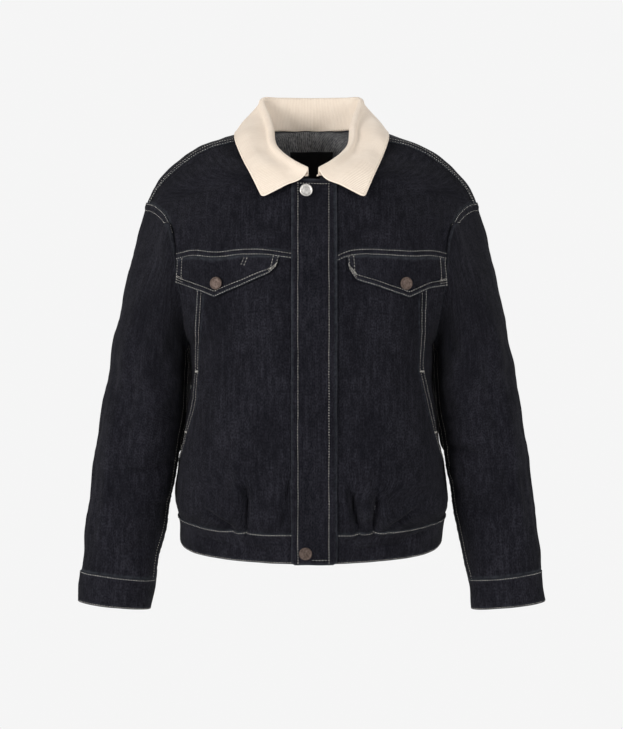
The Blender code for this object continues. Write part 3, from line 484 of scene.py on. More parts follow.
def cloth_relief(points, normals, laps, puckers, ply, lift, borders, grain=None, foot=LAP_FOOT):
    """The outside and inside of a panel on a grid, its chart, and how near its edges are.
    laps gives, for each edge that lies raised over a neighbour, a share of the rise. puckers
    names the edges that the thread draws in, and borders the edges that the cloth ends at.
    grain is the column that the warp runs along, and foot how wide a lapped seam is."""
    u, v = chart(points)
    away = {"left": u, "right": u[:, -1:] - u, "low": v, "high": v[-1] - v}
    run = {"left": v, "right": v, "low": u, "high": u}
    border = np.minimum.reduce([away[key] for key in borders])
    heights, raised, ridge = np.zeros(border.shape) + lift, np.zeros(border.shape), np.zeros(border.shape)
    for key, share in laps.items():
        raised = np.maximum(raised, share * ease((foot - away[key]) / LAP_SLOPE))
        ridge = np.maximum(ridge, share * np.exp(-((away[key] - foot + LAP_SLOPE) / RIDGE_REACH) ** 2))
    heights += LAP_RISE * raised
    for key in puckers:
        wave = np.sin(0.62 * run[key] + 2.1 * np.sin(0.083 * run[key]) + 1.1 * np.sin(0.031 * run[key]))
        heights += PUCKER * wave * np.exp(-(away[key] / PUCKER_REACH) ** 2) * ease(away[key] / 1.5)
    rounding = ROUNDED_SHARE * ply * (1 - ease(border / ROUNDED_WIDTH))
    outer = points + normals * (heights - rounding)[..., None]
    inner = points + normals * (heights - ply + rounding)[..., None]
    column = points.shape[1] // 2 if grain is None else grain
    flat = np.stack([u - u[:, [column]], np.broadcast_to(v[:, [column]], u.shape)], axis=-1)
    edge = np.maximum(np.exp(-border / WEAR_REACH), RIDGE_WEAR * np.clip(ridge, 0, 1))
    return outer, inner, flat, edge


def cloth_panel(name, points, normals, laps=(), puckers=(), ply=PLY, lift=0.0, looks=(), grain=None,
                foot=LAP_FOOT):
    """A panel on one grid. Gives the piece, and its outer points and normals."""
    outer, inner, flat, edge = cloth_relief(points, normals, dict(laps), puckers, ply, lift, ALL_EDGES,
                                            grain, foot)
    index = np.arange(edge.size).reshape(edge.shape)
    piece = cloth_mesh(name, outer.reshape(-1, 3), inner.reshape(-1, 3), grid_quads(index),
                       flat.reshape(-1, 2), edge.reshape(-1), looks)
    return piece, outer, unit(normals)


def add_node(tree, kind, **inputs):
    """A node with its inputs set, by name with _ for a space. A socket is linked."""
    node = tree.nodes.new(kind)
    for name, value in inputs.items():
        socket = node.inputs[int(name[1:]) if name[1:].isdigit() else name.replace("_", " ")]
        if isinstance(value, bpy.types.NodeSocket):
            tree.links.new(value, socket)
        else:
            socket.default_value = value
    return node


def new_group(name, kind, inputs, outputs):
    """An empty node group with named inputs and outputs. Each input is (name, type, value)."""
    tree = bpy.data.node_groups.new(name, kind)
    for label, socket_type, value in inputs:
        socket = tree.interface.new_socket(label, in_out="INPUT", socket_type=socket_type)
        if value is not None:
            socket.default_value = value
    for label, socket_type in outputs:
        tree.interface.new_socket(label, in_out="OUTPUT", socket_type=socket_type)
    return tree, tree.nodes.new("NodeGroupInput"), tree.nodes.new("NodeGroupOutput")


def scaled_noise(tree, coordinate, scale, detail=2.0):
    """Noise stretched by its own scale each way."""
    mapping = add_node(tree, "ShaderNodeMapping", Vector=coordinate, Scale=scale)
    noise = add_node(tree, "ShaderNodeTexNoise", Vector=mapping.outputs[0], Scale=1.0, Detail=detail)
    return noise.outputs["Fac"]


def ramp(tree, factor, low, high, out_low=0.0, out_high=1.0):
    """A number stretched from one range to another, and held at its ends."""
    node = add_node(tree, "ShaderNodeMapRange", Value=factor, From_Min=low, From_Max=high,
                    To_Min=out_low, To_Max=out_high)
    return node.outputs["Result"]


def maths(tree, operation, first, second):
    node = add_node(tree, "ShaderNodeMath", _0=first, _1=second)
    node.operation = operation
    return node.outputs[0]


def weighted(tree, *parts):
    """The sum of masks, each times its weight."""
    total = 0.0
    for mask, weight in parts:
        total = maths(tree, "ADD", total, maths(tree, "MULTIPLY", mask, weight))
    return total


def blend_colour(tree, factor, first, second):
    """Mixes two colours, each a socket or its red, green and blue."""
    first, second = (value if isinstance(value, bpy.types.NodeSocket) else (*value, 1.0)
                     for value in (first, second))
    node = add_node(tree, "ShaderNodeMix", Factor=factor, _6=first, _7=second)
    node.data_type = "RGBA"
    return node.outputs[2]


def uv_place(tree):
    return tree.nodes.new("ShaderNodeTexCoord").outputs["UV"]


def object_place(tree):
    return tree.nodes.new("ShaderNodeTexCoord").outputs["Object"]


def twill_group():
    """Indigo warp over pale weft in steep diagonal lines, with slubs and wear at the edges."""
    colour = "NodeSocketColor"
    number = "NodeSocketFloat"
    tree, given, made = new_group("denim_twill", "ShaderNodeTree", [
        ("Warp", colour, (0.01, 0.012, 0.02, 1)),
        ("Weft", colour, (0.03, 0.034, 0.042, 1)),
        ("Worn", colour, (0.06, 0.066, 0.078, 1)),
        ("Wale Width", number, 0.0009),
        ("Weft Showing", number, 0.5),
        ("Wear", number, 1.0),
    ], [("Colour", colour), ("Roughness", number), ("Height", number)])
    cloth = uv_place(tree)
    turned = add_node(tree, "ShaderNodeMapping", Vector=cloth, Rotation=(0, 0, math.radians(-27)))
    wave = tree.nodes.new("ShaderNodeTexWave")
    tree.links.new(turned.outputs[0], wave.inputs["Vector"])
    # The wave texture has 20 / (2 pi) lines to a unit at a scale of 1
    wave_scale = maths(tree, "DIVIDE", math.tau / 20, given.outputs["Wale Width"])
    tree.links.new(wave_scale, wave.inputs["Scale"])
    wave.inputs["Distortion"].default_value = 1.2
    wave.inputs["Detail"].default_value = 1.0
    wale = wave.outputs["Fac"]
    slub = scaled_noise(tree, cloth, (950, 26, 1))
    long_slub = scaled_noise(tree, cloth, (260, 9, 1))
    pick = scaled_noise(tree, cloth, (42, 780, 1))
    fade = scaled_noise(tree, cloth, (17, 11, 1), detail=3.0)
    speck = scaled_noise(tree, cloth, (1700, 1700, 1), detail=1.0)
    mottle = scaled_noise(tree, cloth, (520, 330, 1), detail=3.0)
    patch = scaled_noise(tree, cloth, (150, 60, 1), detail=3.0)
    weft = weighted(
        tree,
        (ramp(tree, wale, 0.35, 1.0), given.outputs["Weft Showing"]),
        (ramp(tree, slub, 0.42, 0.74), 0.38),
        (ramp(tree, long_slub, 0.46, 0.72), 0.30),
        (ramp(tree, pick, 0.55, 0.8), 0.12),
        (ramp(tree, mottle, 0.38, 0.64), 0.80),
    )
    weft = maths(tree, "MULTIPLY", weft, ramp(tree, fade, 0.3, 0.72, 0.6, 1.4))
    weft = maths(tree, "MULTIPLY", weft, ramp(tree, patch, 0.32, 0.68, 0.62, 1.38))
    base = blend_colour(tree, ramp(tree, weft, 0.18, 1.55), given.outputs["Warp"], given.outputs["Weft"])
    edge = add_node(tree, "ShaderNodeAttribute")
    edge.attribute_name = "edge"
    rubbed = ramp(tree, scaled_noise(tree, cloth, (160, 160, 1)), 0.34, 0.66, 0.35, 1.0)
    worn = maths(tree, "MULTIPLY", edge.outputs["Fac"], rubbed)
    worn = maths(tree, "MULTIPLY", worn, given.outputs["Wear"])
    coloured = blend_colour(tree, ramp(tree, worn, 0.06, 1.0), base, given.outputs["Worn"])
    height = weighted(tree, (wale, 0.55), (slub, 0.5), (speck, 0.35))
    tree.links.new(coloured, made.inputs["Colour"])
    tree.links.new(ramp(tree, wale, 0.0, 1.0, 0.92, 0.78), made.inputs["Roughness"])
    tree.links.new(height, made.inputs["Height"])
    return tree


def new_material(name, roughness=None, metallic=0.0, specular=0.5, sheen=0.0, sheen_roughness=0.5):
    """A Principled material with its plain values set on the shader's own sockets."""
    look = bpy.data.materials.new(name)
    look.use_nodes = True
    shader = look.node_tree.nodes["Principled BSDF"]
    shader.inputs["Metallic"].default_value = metallic
    shader.inputs["Specular IOR Level"].default_value = specular
    shader.inputs["Sheen Weight"].default_value = sheen
    shader.inputs["Sheen Roughness"].default_value = sheen_roughness
    if roughness is not None:
        shader.inputs["Roughness"].default_value = roughness
    return look, look.node_tree, shader


def bump_into(tree, shader, height, distance):
    bump = add_node(tree, "ShaderNodeBump", Height=height, Distance=distance, Strength=1.0)
    tree.links.new(bump.outputs[0], shader.inputs["Normal"])


def denim_material(name, bump, sheen, **weave):
    """Twilled cotton. weave gives the inputs of the twill's group, with _ for a space."""
    look, tree, shader = new_material(name, specular=0.08, sheen=sheen, sheen_roughness=0.6)
    group = tree.nodes.new("ShaderNodeGroup")
    group.node_tree = twill
    for label, value in weave.items():
        group.inputs[label.replace("_", " ")].default_value = value
    tree.links.new(group.outputs["Colour"], shader.inputs["Base Color"])
    tree.links.new(group.outputs["Roughness"], shader.inputs["Roughness"])
    bump_into(tree, shader, group.outputs["Height"], bump)
    return look


twill = twill_group()
denim = denim_material(
    "dark_denim", bump=0.00040, sheen=0.02, Warp=(0.0016, 0.0017, 0.0038, 1),
    Weft=(0.0200, 0.0196, 0.0265, 1), Worn=(0.040, 0.045, 0.053, 1), Wale_Width=0.0010,
    Weft_Showing=0.45, Wear=1.0)
wrong_side = denim_material(
    "denim_wrong_side", bump=0.00045, sheen=0.0, Warp=(0.072, 0.074, 0.079, 1),
    Weft=(0.33, 0.325, 0.325, 1), Worn=(0.25, 0.25, 0.25, 1), Wale_Width=0.0026,
    Weft_Showing=0.75, Wear=0.6)
DENIM_LOOKS = (denim, wrong_side)


def stitch_tree():
    """Geometry Nodes: small lens-shaped stitches, one after another along each row."""
    number = "NodeSocketFloat"
    tree, given, made = new_group("sewn_rows", "GeometryNodeTree", [
        ("Rows", "NodeSocketGeometry", None),
        ("Stitch Pitch", number, 0.0032),
        ("Stitch Length", number, 0.0027),
        ("Thread Width", number, 0.00085),
        ("Thread Height", number, 0.0006),
        ("Thread", "NodeSocketMaterial", None),
    ], [("Stitches", "NodeSocketGeometry")])
    path = add_node(tree, "GeometryNodeMeshToCurve", Mesh=given.outputs["Rows"])
    even = tree.nodes.new("GeometryNodeResampleCurve")
    even.mode = "LENGTH"
    tree.links.new(path.outputs[0], even.inputs["Curve"])
    tree.links.new(given.outputs["Stitch Pitch"], even.inputs["Length"])
    ball = add_node(tree, "GeometryNodeMeshUVSphere", Segments=6, Rings=4, Radius=0.5)
    size = add_node(tree, "ShaderNodeCombineXYZ", X=given.outputs["Stitch Length"],
                    Y=given.outputs["Thread Width"], Z=given.outputs["Thread Height"])
    stitch = add_node(tree, "GeometryNodeTransform", Geometry=ball.outputs[0], Scale=size.outputs[0])
    way_out = add_node(tree, "GeometryNodeInputNamedAttribute", Name="out")
    way_out.data_type = "FLOAT_VECTOR"
    tangent = tree.nodes.new("GeometryNodeInputTangent")
    standing = add_node(tree, "FunctionNodeAlignRotationToVector", Vector=way_out.outputs["Attribute"])
    standing.axis = "Z"
    lying = add_node(tree, "FunctionNodeAlignRotationToVector", Rotation=standing.outputs[0],
                     Vector=tangent.outputs[0])
    lying.axis = "X"
    lying.pivot_axis = "Z"
    placed = add_node(tree, "GeometryNodeInstanceOnPoints", Points=even.outputs[0],
                      Instance=stitch.outputs[0], Rotation=lying.outputs[0])
    real = add_node(tree, "GeometryNodeRealizeInstances", Geometry=placed.outputs[0])
    smooth = add_node(tree, "GeometryNodeSetShadeSmooth", Geometry=real.outputs[0])
    dyed = add_node(tree, "GeometryNodeSetMaterial", Geometry=smooth.outputs[0],
                    Material=given.outputs["Thread"])
    tree.links.new(dyed.outputs[0], made.inputs["Stitches"])
    return tree


def thread_material(name, light, dark):
    """Twisted sewing thread: fine turns along each stitch, a little uneven in colour."""
    look, tree, shader = new_material(name, roughness=0.75, specular=0.15, sheen=0.1)
    place = object_place(tree)
    tone = scaled_noise(tree, place, (140, 140, 140))
    twist = scaled_noise(tree, place, (2600, 2600, 2600), detail=1.0)
    colour = blend_colour(tree, ramp(tree, tone, 0.35, 0.65), light, dark)
    tree.links.new(colour, shader.inputs["Base Color"])
    bump_into(tree, shader, twist, 0.0002)
    return look


ecru_thread = thread_material("ecru_thread", (0.72, 0.69, 0.63), (0.30, 0.285, 0.26))
sewn_rows = stitch_tree()


def sew(name, lines, thread=ecru_thread, pitch=3.7, width=0.7, lift=0.1):
    """Rows of stitches as one mesh. Each line is (points, ways out) in millimetres."""
    points = np.concatenate([line + out * lift for line, out in lines]) * MM
    outs = np.concatenate([out for line, out in lines])
    edges, start = [], 0
    for line, out in lines:
        edges += [(corner, corner + 1) for corner in range(start, start + len(line) - 1)]
        start += len(line)
    mesh = bpy.data.meshes.new(name + "_rows")
    mesh.from_pydata(points.tolist(), edges, [])
    ways = mesh.attributes.new("out", "FLOAT_VECTOR", "POINT")
    ways.data.foreach_set("vector", outs.reshape(-1).astype(np.float32))
    guide = new_object(name + "_rows", mesh)
    modifier = guide.modifiers.new("stitches", "NODES")
    modifier.node_group = sewn_rows
    values = {"Stitch Pitch": pitch * MM, "Stitch Length": pitch * 0.66 * MM, "Thread": thread,
              "Thread Width": width * MM, "Thread Height": width * 0.7 * MM}
    for item in sewn_rows.interface.items_tree:
        if item.in_out == "INPUT" and item.name in values:
            modifier[item.identifier] = values[item.name]
    evaluated = guide.evaluated_get(bpy.context.evaluated_depsgraph_get())
    sewn_mesh = bpy.data.meshes.new_from_object(evaluated)
    sewn_mesh.name = name
    guide.modifiers.remove(modifier)
    bpy.data.objects.remove(guide)
    piece = new_object(name, sewn_mesh)
    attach(piece, "root")
    return piece


def column_line(panel, column, first=0, last=None):
    outer, out = panel[1], panel[2]
    return outer[first:last, column], out[first:last, column]


def row_line(panel, row, first=0, last=None):
    outer, out = panel[1], panel[2]
    return outer[row, first:last], out[row, first:last]


# How far from the middle each front ends under the placket
FRONT_ENDS = {1.0: 12.0, -1.0: 8.0}
FRONT_LAP = 3.0
FRONT_PITCH = 2.3
FRONT_SEWN = (0.0, 0.5, 2.4, 7.0, 11.6, 13.4, 15.2)
# Height, and how far from the middle the lapped edge lies there. Below FRONT_EDGE_END it joins
# the seam's own line over FRONT_EDGE_JOIN.
FRONT_EDGES = {
    1.0: [(-170, 156), (-228, 158), (-275, 155.5), (-333, 155.5), (-365, 161), (-400, 170), (-443, 180.5)],
    -1.0: [(-170, 154), (-228, 157), (-298, 159.5), (-340, 161.5), (-370, 163.5), (-388, 167), (-403, 171.5),
           (-423, 176.5), (-443, 180.5)],
}
FRONT_EDGE_END, FRONT_EDGE_JOIN = -436.0, 34.0
# The flap hides the lapped seam above this height, and the seam lies flat under it
FLAP_COVER = -218.0
WORD = {1.0: "left", -1.0: "right"}
seam_top = KEY["yoke_seam"] - SEAM_HALF
seam_low = KEY["band_top"] + SEAM_HALF


def front_inner(along, side):
    """Where a front ends under the placket. The right one runs on past the middle."""
    end = FRONT_ENDS[side]
    place = across_at(along, end)
    if side > 0:
        shut = (along > KEY["neck_front"]) & (plain_body(along, 0.0, 1.0)[..., 0] > end)
        return np.where(shut, 0.0, place)
    return np.where(along > KEY["neck_front"] + 1, 0.0, -place)


def finish_panel(panel, node):
    """Rides the piece on the root body and hides its plain solid."""
    piece = panel[0]
    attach(piece, "root")
    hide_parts(node)


# The pocket mouth: the height of its two bar tacks, how far it gapes, and how far from it the
# cloth in front and behind lies flat again
POCKET_TOP, POCKET_LOW = -336.0, -421.0
POCKET_GAPE = 0.9
POCKET_FRONT_REACH, POCKET_SIDE_REACH = 16.0, 14.0


def pocket_gape(points, away, reach):
    """How far the cloth by the pocket mouth stands off, 0 at the tacks and away from it."""
    z = points[..., 2]
    middle, half = (POCKET_TOP + POCKET_LOW) / 2, (POCKET_TOP - POCKET_LOW) / 2
    return POCKET_GAPE * ease(1.25 - np.abs(z - middle) / half) * (1 - ease(away / reach))


def front_edge(along, side):
    """The place of a front's lapped edge, row by row."""
    seam = stepped(ring, along, side_seam(along, 1), side, FRONT_LAP)
    z = ring(along, np.minimum(seam, 1.0), side)[..., 2]
    table = np.array(FRONT_EDGES[side], float)[::-1]
    shown = across_at(along, smooth_table(table[:, 0], table[:, 1], np.clip(z, table[0, 0], table[-1, 0])))
    low = ease((FRONT_EDGE_END - z) / FRONT_EDGE_JOIN)
    return shown * (1 - low) + seam * low


for side in (1.0, -1.0):
    along = rows_between(seam_low, seam_top, PLAIN_EDGE, PLAIN_EDGE, FRONT_PITCH)
    places = places_between(ring, along, front_inner(along, side), front_edge(along, side), side,
                            PLAIN_EDGE, FRONT_SEWN, FRONT_PITCH)
    points = ring(along[:, None], places, side)
    u = chart(points)[0]
    gape = pocket_gape(points, u[:, -1:] - u, POCKET_FRONT_REACH)
    edge_z = points[:, -1, 2]
    uncovered = 1 - ease((edge_z - FLAP_COVER - 2) / 10)
    front = cloth_panel("front_panel_" + WORD[side], points, ring_normals(along[:, None], places, side),
                        laps={"right": uncovered[:, None]}, puckers=("right", "low", "high"), lift=gape,
                        looks=DENIM_LOOKS, grain=0, foot=FRONT_SEWN[-1])
    shown = int(np.argmax(edge_z > FLAP_COVER))
    lines = [column_line(front, -1 - FIRST_LINE, 0, shown), column_line(front, -1 - SECOND_LINE, 0, shown)]
    thread = sew("front_stitches_" + WORD[side], lines)
    # Bar tacks: dense stitches side by side across both rows, at the ends of the pocket mouth
    tacks = []
    for height in (POCKET_TOP, POCKET_LOW):
        row = int(np.argmin(np.abs(front[1][:, -1, 2] - height)))
        for step in np.linspace(-0.9, 0.9, 4):
            line, out = row_line(front, row, -2 - SECOND_LINE, -FIRST_LINE)
            tacks.append((line + np.array([0, 0, step]), out))
    tack = sew("pocket_tacks_" + WORD[side], tacks, pitch=1.3, lift=0.5)
    finish_panel(front, "front_" + WORD[side])


# ---------------------------------------------------------------- side panels
# Narrow denim panels from under the front's lap round to the back, where they lap over the
# back and are sewn with two rows. The slanted pocket mouth is left open in the front seam.
# The upper end meets the armhole, so the sleeve's surface is worked out here too.

# name, outer edge (x, z), inner edge (x, z), half the depth, y of the middle
SLEEVE_ROWS = [
    ("armhole", 234, -96, 172, -300, 74, 0),
    ("cap", 243, -125, 178, -312, 74, 0),
    ("upper", 252, -160, 177.5, -325, 73, 0),
    ("upper_mid", 261, -200, 177.5, -338, 71, 0),
    ("bicep", 271, -245, 177.5, -352, 69, -1),
    ("bicep_low", 282, -300, 179, -374, 66, -2),
    ("elbow_high", 291, -355, 182, -400, 62, -4),
    ("elbow", 300, -410, 187, -432, 58, -6),
    ("elbow_low", 309, -465, 192.5, -474, 53, -8),
    ("forearm", 315, -515, 200, -519, 48, -9),
    ("wrist_high", 320, -565, 210, -568, 43, -10),
    ("cuff_seam", 325.5, -616, 221.5, -628, 38, -11),
    ("cuff_end", 328.4, -660, 228, -671, 35, -11),
]
ARMHOLE_FADE = 0.34
# side (1 left, -1 right), angle and distance down where it starts, the same where it ends,
# width, height. Angles are degrees round the sleeve: 0 outer edge, -90 front, 180 inner edge.
# The largest folds first, then the creases that break at the elbow and along the arm.
SLEEVE_FOLDS = [
    (1, -165, 235, -75, 268, 12, -4.5),
    (1, -170, 272, -95, 318, 13, 3.5),
    (1, -150, 330, -60, 352, 12, -3.0),
    (1, -20, 120, -70, 220, 16, -3.0),
    (1, 60, 250, 150, 290, 14, -4.0),
    (-1, -160, 262, -70, 292, 12, -4.5),
    (-1, -172, 300, -90, 340, 13, 3.5),
    (-1, -140, 385, -70, 402, 12, -3.0),
    (-1, -25, 130, -75, 235, 16, -3.0),
    (-1, 60, 240, 150, 285, 14, -4.0),
]
SLEEVE_CREASES = [
    (1, -46, 50, -60, 420, 10, 2.6),
    (1, -80, 90, -68, 340, 10, -3.4),
    (1, -128, 30, -104, 160, 9.0, -3.6),
    (1, -150, 100, -108, 206, 9.0, 3.2),
    (1, -108, 150, -98, 300, 10, 2.4),
    (1, -24, 180, -18, 400, 8.0, -2.2),
    (1, -168, 238, -92, 262, 4.5, -3.4),
    (1, -158, 252, -104, 276, 5.5, 1.3),
    (1, -172, 264, -120, 292, 5.0, -1.8),
    (1, -150, 332, -84, 348, 5.0, -1.5),
    (1, -46, 282, -38, 372, 8.0, -1.5),
    (1, -62, 120, -84, 190, 8.0, -1.3),
    (1, -104, 60, -118, 132, 9.0, 1.1),
    (1, -66, 396, -58, 428, 5.0, -1.0),
    (1, -110, 404, -104, 430, 4.0, -0.9),
    (1, 40, 150, 66, 232, 12, -1.3),
    (1, 72, 252, 140, 284, 6.0, -1.9),
    (1, 96, 300, 160, 322, 6.0, -1.5),
    (-1, -50, 40, -58, 410, 10, 2.6),
    (-1, -76, 70, -74, 330, 10, -3.4),
    (-1, -130, 30, -106, 160, 9.0, -3.6),
    (-1, -152, 92, -110, 200, 9.0, 3.2),
    (-1, -112, 140, -104, 290, 10, 2.4),
    (-1, -22, 160, -20, 390, 8.0, -2.2),
    (1, -140, 446, -62, 452, 3.2, -1.3),
    (1, -100, 459, -30, 455, 3.2, -1.1),
    (-1, -150, 450, -70, 447, 3.2, -1.3),
    (-1, -104, 458, -36, 460, 3.2, -1.1),
    (-1, -166, 264, -92, 288, 4.5, -3.2),
    (-1, -172, 286, -112, 316, 5.5, 1.2),
    (-1, -150, 322, -112, 336, 4.5, -1.5),
    (-1, -146, 386, -92, 400, 4.5, -1.4),
    (-1, -40, 300, -44, 386, 8.0, -1.2),
    (-1, -60, 130, -82, 206, 8.0, -1.3),
    (-1, -104, 66, -120, 140, 9.0, 1.1),
    (-1, -80, 398, -72, 429, 4.5, -1.0),
    (-1, -30, 400, -26, 428, 4.5, -0.9),
    (-1, 38, 140, 62, 226, 12, -1.3),
    (-1, 74, 244, 142, 280, 6.0, -1.9),
    (-1, 92, 292, 158, 316, 6.0, -1.5),
]
FOLD_RADIUS = 60.0
# The sleeve lies against the body: how far off, and at what angle round the sleeve
REST_GAP = 0.8
REST_ANGLE = math.radians(145)
# The heights between which it does, each with the length over which that fades
REST_TOP, REST_TOP_FADE = -294.0, 14.0
REST_LOW, REST_LOW_FADE = -440.0, 34.0
OVERHANG, OVERHANG_RISE = 18.0, 5.0

SLEEVE_START = KEY["underarm"]
SLEEVE_END = KEY["back_underarm"]
SLEEVE_SPLIT = KEY["back_yoke_seam"]
SLEEVE_SPAN = SLEEVE_END - SLEEVE_START
sleeve_middles = np.array([((row[1] + row[3]) / 2, (row[2] + row[4]) / 2) for row in SLEEVE_ROWS])
SLEEVE_KEYS = np.concatenate([[0.0], np.linalg.norm(np.diff(sleeve_middles, axis=0), axis=1).cumsum()])
CUFF_SEAM, CUFF_END = SLEEVE_KEYS[-2:]


def sleeve_section(down, angle):
    """A point of the left sleeve's plain sections, at this angle round it."""
    table = smooth_table(SLEEVE_KEYS, [row[1:] for row in SLEEVE_ROWS], down)
    outer_x, outer_z, inner_x, inner_z, depth, y = np.moveaxis(table, -1, 0)
    swing, fore = np.cos(angle), np.sin(angle)
    return np.stack([(outer_x + inner_x) / 2 + (outer_x - inner_x) / 2 * swing, y + depth * fore,
                     (outer_z + inner_z) / 2 + (outer_z - inner_z) / 2 * swing], axis=-1)


def armhole_place(around):
    return SLEEVE_START + np.mod(around - SLEEVE_START, SLEEVE_SPAN)


def armhole_angle(around):
    """The angle of each place of the armhole round the sleeve's first section."""
    outer_x, outer_z, inner_x, inner_z, depth, y = SLEEVE_ROWS[0][1:]
    points = plain_body(armhole_place(around), 1.0, 1.0)
    half = np.array([outer_x - inner_x, outer_z - inner_z]) / 2
    centre = np.array([outer_x + inner_x, outer_z + inner_z]) / 2
    rise = (points[..., [0, 2]] - centre) @ half / (half @ half)
    return np.arctan2((points[..., 1] - y) / depth, rise)


def plain_sleeve(down, around, side):
    """The sleeve before its folds. around is the place of the armhole that it hangs from."""
    down, around, side = together(down, around, side)
    angle = armhole_angle(around)
    fade = 1 - ease(down / (CUFF_SEAM * ARMHOLE_FADE))
    points, first = sleeve_section(down, angle), sleeve_section(np.zeros_like(down), angle)
    points[..., 0] *= side
    first[..., 0] *= side
    return points + fade[..., None] * (body(armhole_place(around), 1.0, side) - first)


def resting_sleeve(down, around, side):
    """The plain sleeve, pressed at its inner side towards the body that it hangs against."""
    down, around, side = together(down, around, side)
    points = plain_sleeve(down, around, side)
    lows = np.array([row[1:3] for row in LOW_ROWS], float)
    beside = np.interp(points[..., 2], lows[:, 1], lows[:, 0]) + REST_GAP
    height = points[..., 2]
    resting = ease((REST_TOP - height) / REST_TOP_FADE) * (1 - ease((REST_LOW - height) / REST_LOW_FADE))
    facing = np.clip(np.cos(armhole_angle(around) - REST_ANGLE), 0, 1) ** 8
    points[..., 0] -= side * resting * facing * np.maximum(side * points[..., 0] - beside, 0)
    return points


def sleeve(down, around, side):
    """The outer surface of a sleeve and its cuff, with folds and creases."""
    down, around, side = together(down, around, side)
    points = resting_sleeve(down, around, side)
    flat = np.stack([armhole_angle(around) * FOLD_RADIUS, down], axis=-1)
    heights = slack(points) * ease(down / 30)
    for half in (1, -1):
        folds = [(math.radians(row[1]) * FOLD_RADIUS, row[2], math.radians(row[3]) * FOLD_RADIUS, row[4],
                  row[5], row[6]) for row in SLEEVE_FOLDS + SLEEVE_CREASES if row[0] == half]
        heights += np.where(side == half, fold_heights(flat, folds), 0)
    # In front, the cloth of the sleeve bulges back over the seam that it hangs from
    front = ease((KEY["yoke_high"] - around) / 26) * ease((around - KEY["underarm"] - 4) / 40)
    back_over = OVERHANG * ease(down / 15) * (1 - ease((down - 16) / 44)) * front
    heights += OVERHANG_RISE * ease(down / 13) * (1 - ease((down - 14) / 46)) * front
    run = unit(resting_sleeve(down + 1, around, side) - resting_sleeve(down - 1, around, side))
    normals = normals_of(resting_sleeve, down, around, side, 1.0, 1.5, 1)
    return points + normals * heights[..., None] - run * back_over[..., None]


def sleeve_normals(down, around, side):
    return normals_of(sleeve, down, around, side, 0.8, 1.0, 1)


def armhole_mitre(around, side):
    """The way out at the armhole, shared by body and sleeve: between their own normals, and
    longer than one ply, as a mitre is."""
    on_body = body_normals(armhole_place(around), 1.0, side)
    mitre = unit(on_body + sleeve_normals(np.zeros_like(around), around, side))
    return mitre / np.clip((mitre * on_body).sum(axis=-1), 0.5, 1)[..., None]


SIDE_LAP = 3.0
UNDER_FRONT = 12.0

for side in (1.0, -1.0):
    along = rows_between(seam_low, seam_top, PLAIN_EDGE, PLAIN_EDGE)
    below_arm = ease((SLEEVE_START - along) / 12)
    rear = side_seam(along, 2)
    end = np.where(below_arm > 0, stepped(ring, along, rear + 0.003, side, SIDE_LAP * below_arm), rear)
    start = stepped(ring, along, front_edge(along, side), side, -UNDER_FRONT)
    places = places_between(ring, along, start, end, side, PLAIN_EDGE, SEWN_EDGE)
    points, normals = ring(along[:, None], places, side), ring_normals(along[:, None], places, side)
    at_arm = along >= SLEEVE_START
    normals[at_arm, -1] = armhole_mitre(along[at_arm], side)
    dip = -pocket_gape(points, chart(points)[0], POCKET_SIDE_REACH)
    panel = cloth_panel("side_panel_" + WORD[side], points, normals, laps={"right": below_arm[:, None]},
                        puckers=("low", "right"), lift=dip, looks=DENIM_LOOKS)
    last = int(np.argmax(at_arm))
    thread = sew("side_stitches_" + WORD[side], [column_line(panel, -1 - FIRST_LINE, 0, last),
                                                  column_line(panel, -1 - SECOND_LINE, 0, last)])
    finish_panel(panel, "side_" + WORD[side])


# ---------------------------------------------------------------- chest yokes
# The denim across each side of the chest, from the shoulder down to a slightly wavy folded
# edge that laps over the front panel and the top of the flap, with two rows of stitches.

# Height of the folded edge at distances from the middle, on the wearer's left and right
YOKE_EDGES = {
    1.0: [(0, -187.5), (34, -187.0), (48, -181.5), (66, -178.8), (104, -179.0), (136, -180.6), (168, -179.2),
          (186, -182.0), (200, -184.0)],
    -1.0: [(0, -184.5), (28, -183.2), (58, -179.4), (95, -178.6), (132, -181.6), (165, -178.8), (184, -182.2),
           (200, -184.0)],
}
SHOULDER_LAP = 9.0


def yoke_edge(distance, side):
    table = np.array(YOKE_EDGES[side], float)
    return smooth_table(table[:, 0], table[:, 1], np.clip(distance, 0, 200))


for side in (1.0, -1.0):
    base = np.array([KEY["yoke_seam"] - 6.0])
    across = places_between(body, base, front_inner(base, side), np.ones(1), side, PLAIN_EDGE, PLAIN_EDGE)[0]
    distance = np.abs(plain_body(base[0], across, side)[:, 0])
    edge_along = find_front(distance, yoke_edge(distance, side))[0]
    top = KEY["shoulder_seam"] - SEAM_HALF
    share = spread(top - edge_along, SEWN_EDGE, PLAIN_EDGE).T
    along = edge_along + (top - edge_along) * share
    inner = np.array([front_inner(row, side) for row in along])
    column_share = (across - across[0]) / (across[-1] - across[0])
    places = inner * (1 - column_share) + column_share
    normals = body_normals(along, places, side)
    normals[:, -1] = armhole_mitre(along[:, -1], side)
    panel = cloth_panel("chest_yoke_" + WORD[side], body(along, places, side), normals,
                        laps={"low": 1.0}, puckers=("low",), looks=DENIM_LOOKS, grain=0)
    lines = [row_line(panel, FIRST_LINE), row_line(panel, SECOND_LINE)]
    thread = sew("chest_yoke_stitches_" + WORD[side], lines)
    finish_panel(panel, "front_yoke_" + WORD[side])


# ---------------------------------------------------------------- back yoke and back
# The back yoke is one piece over both shoulders and round the neck. Its folded edges lap
# over the chest yokes in front and over the back below, sewn with two rows each. Inside the
# neck its paler wrong side shows. The back below it is one plain panel.

BACK_LAP = 5.0

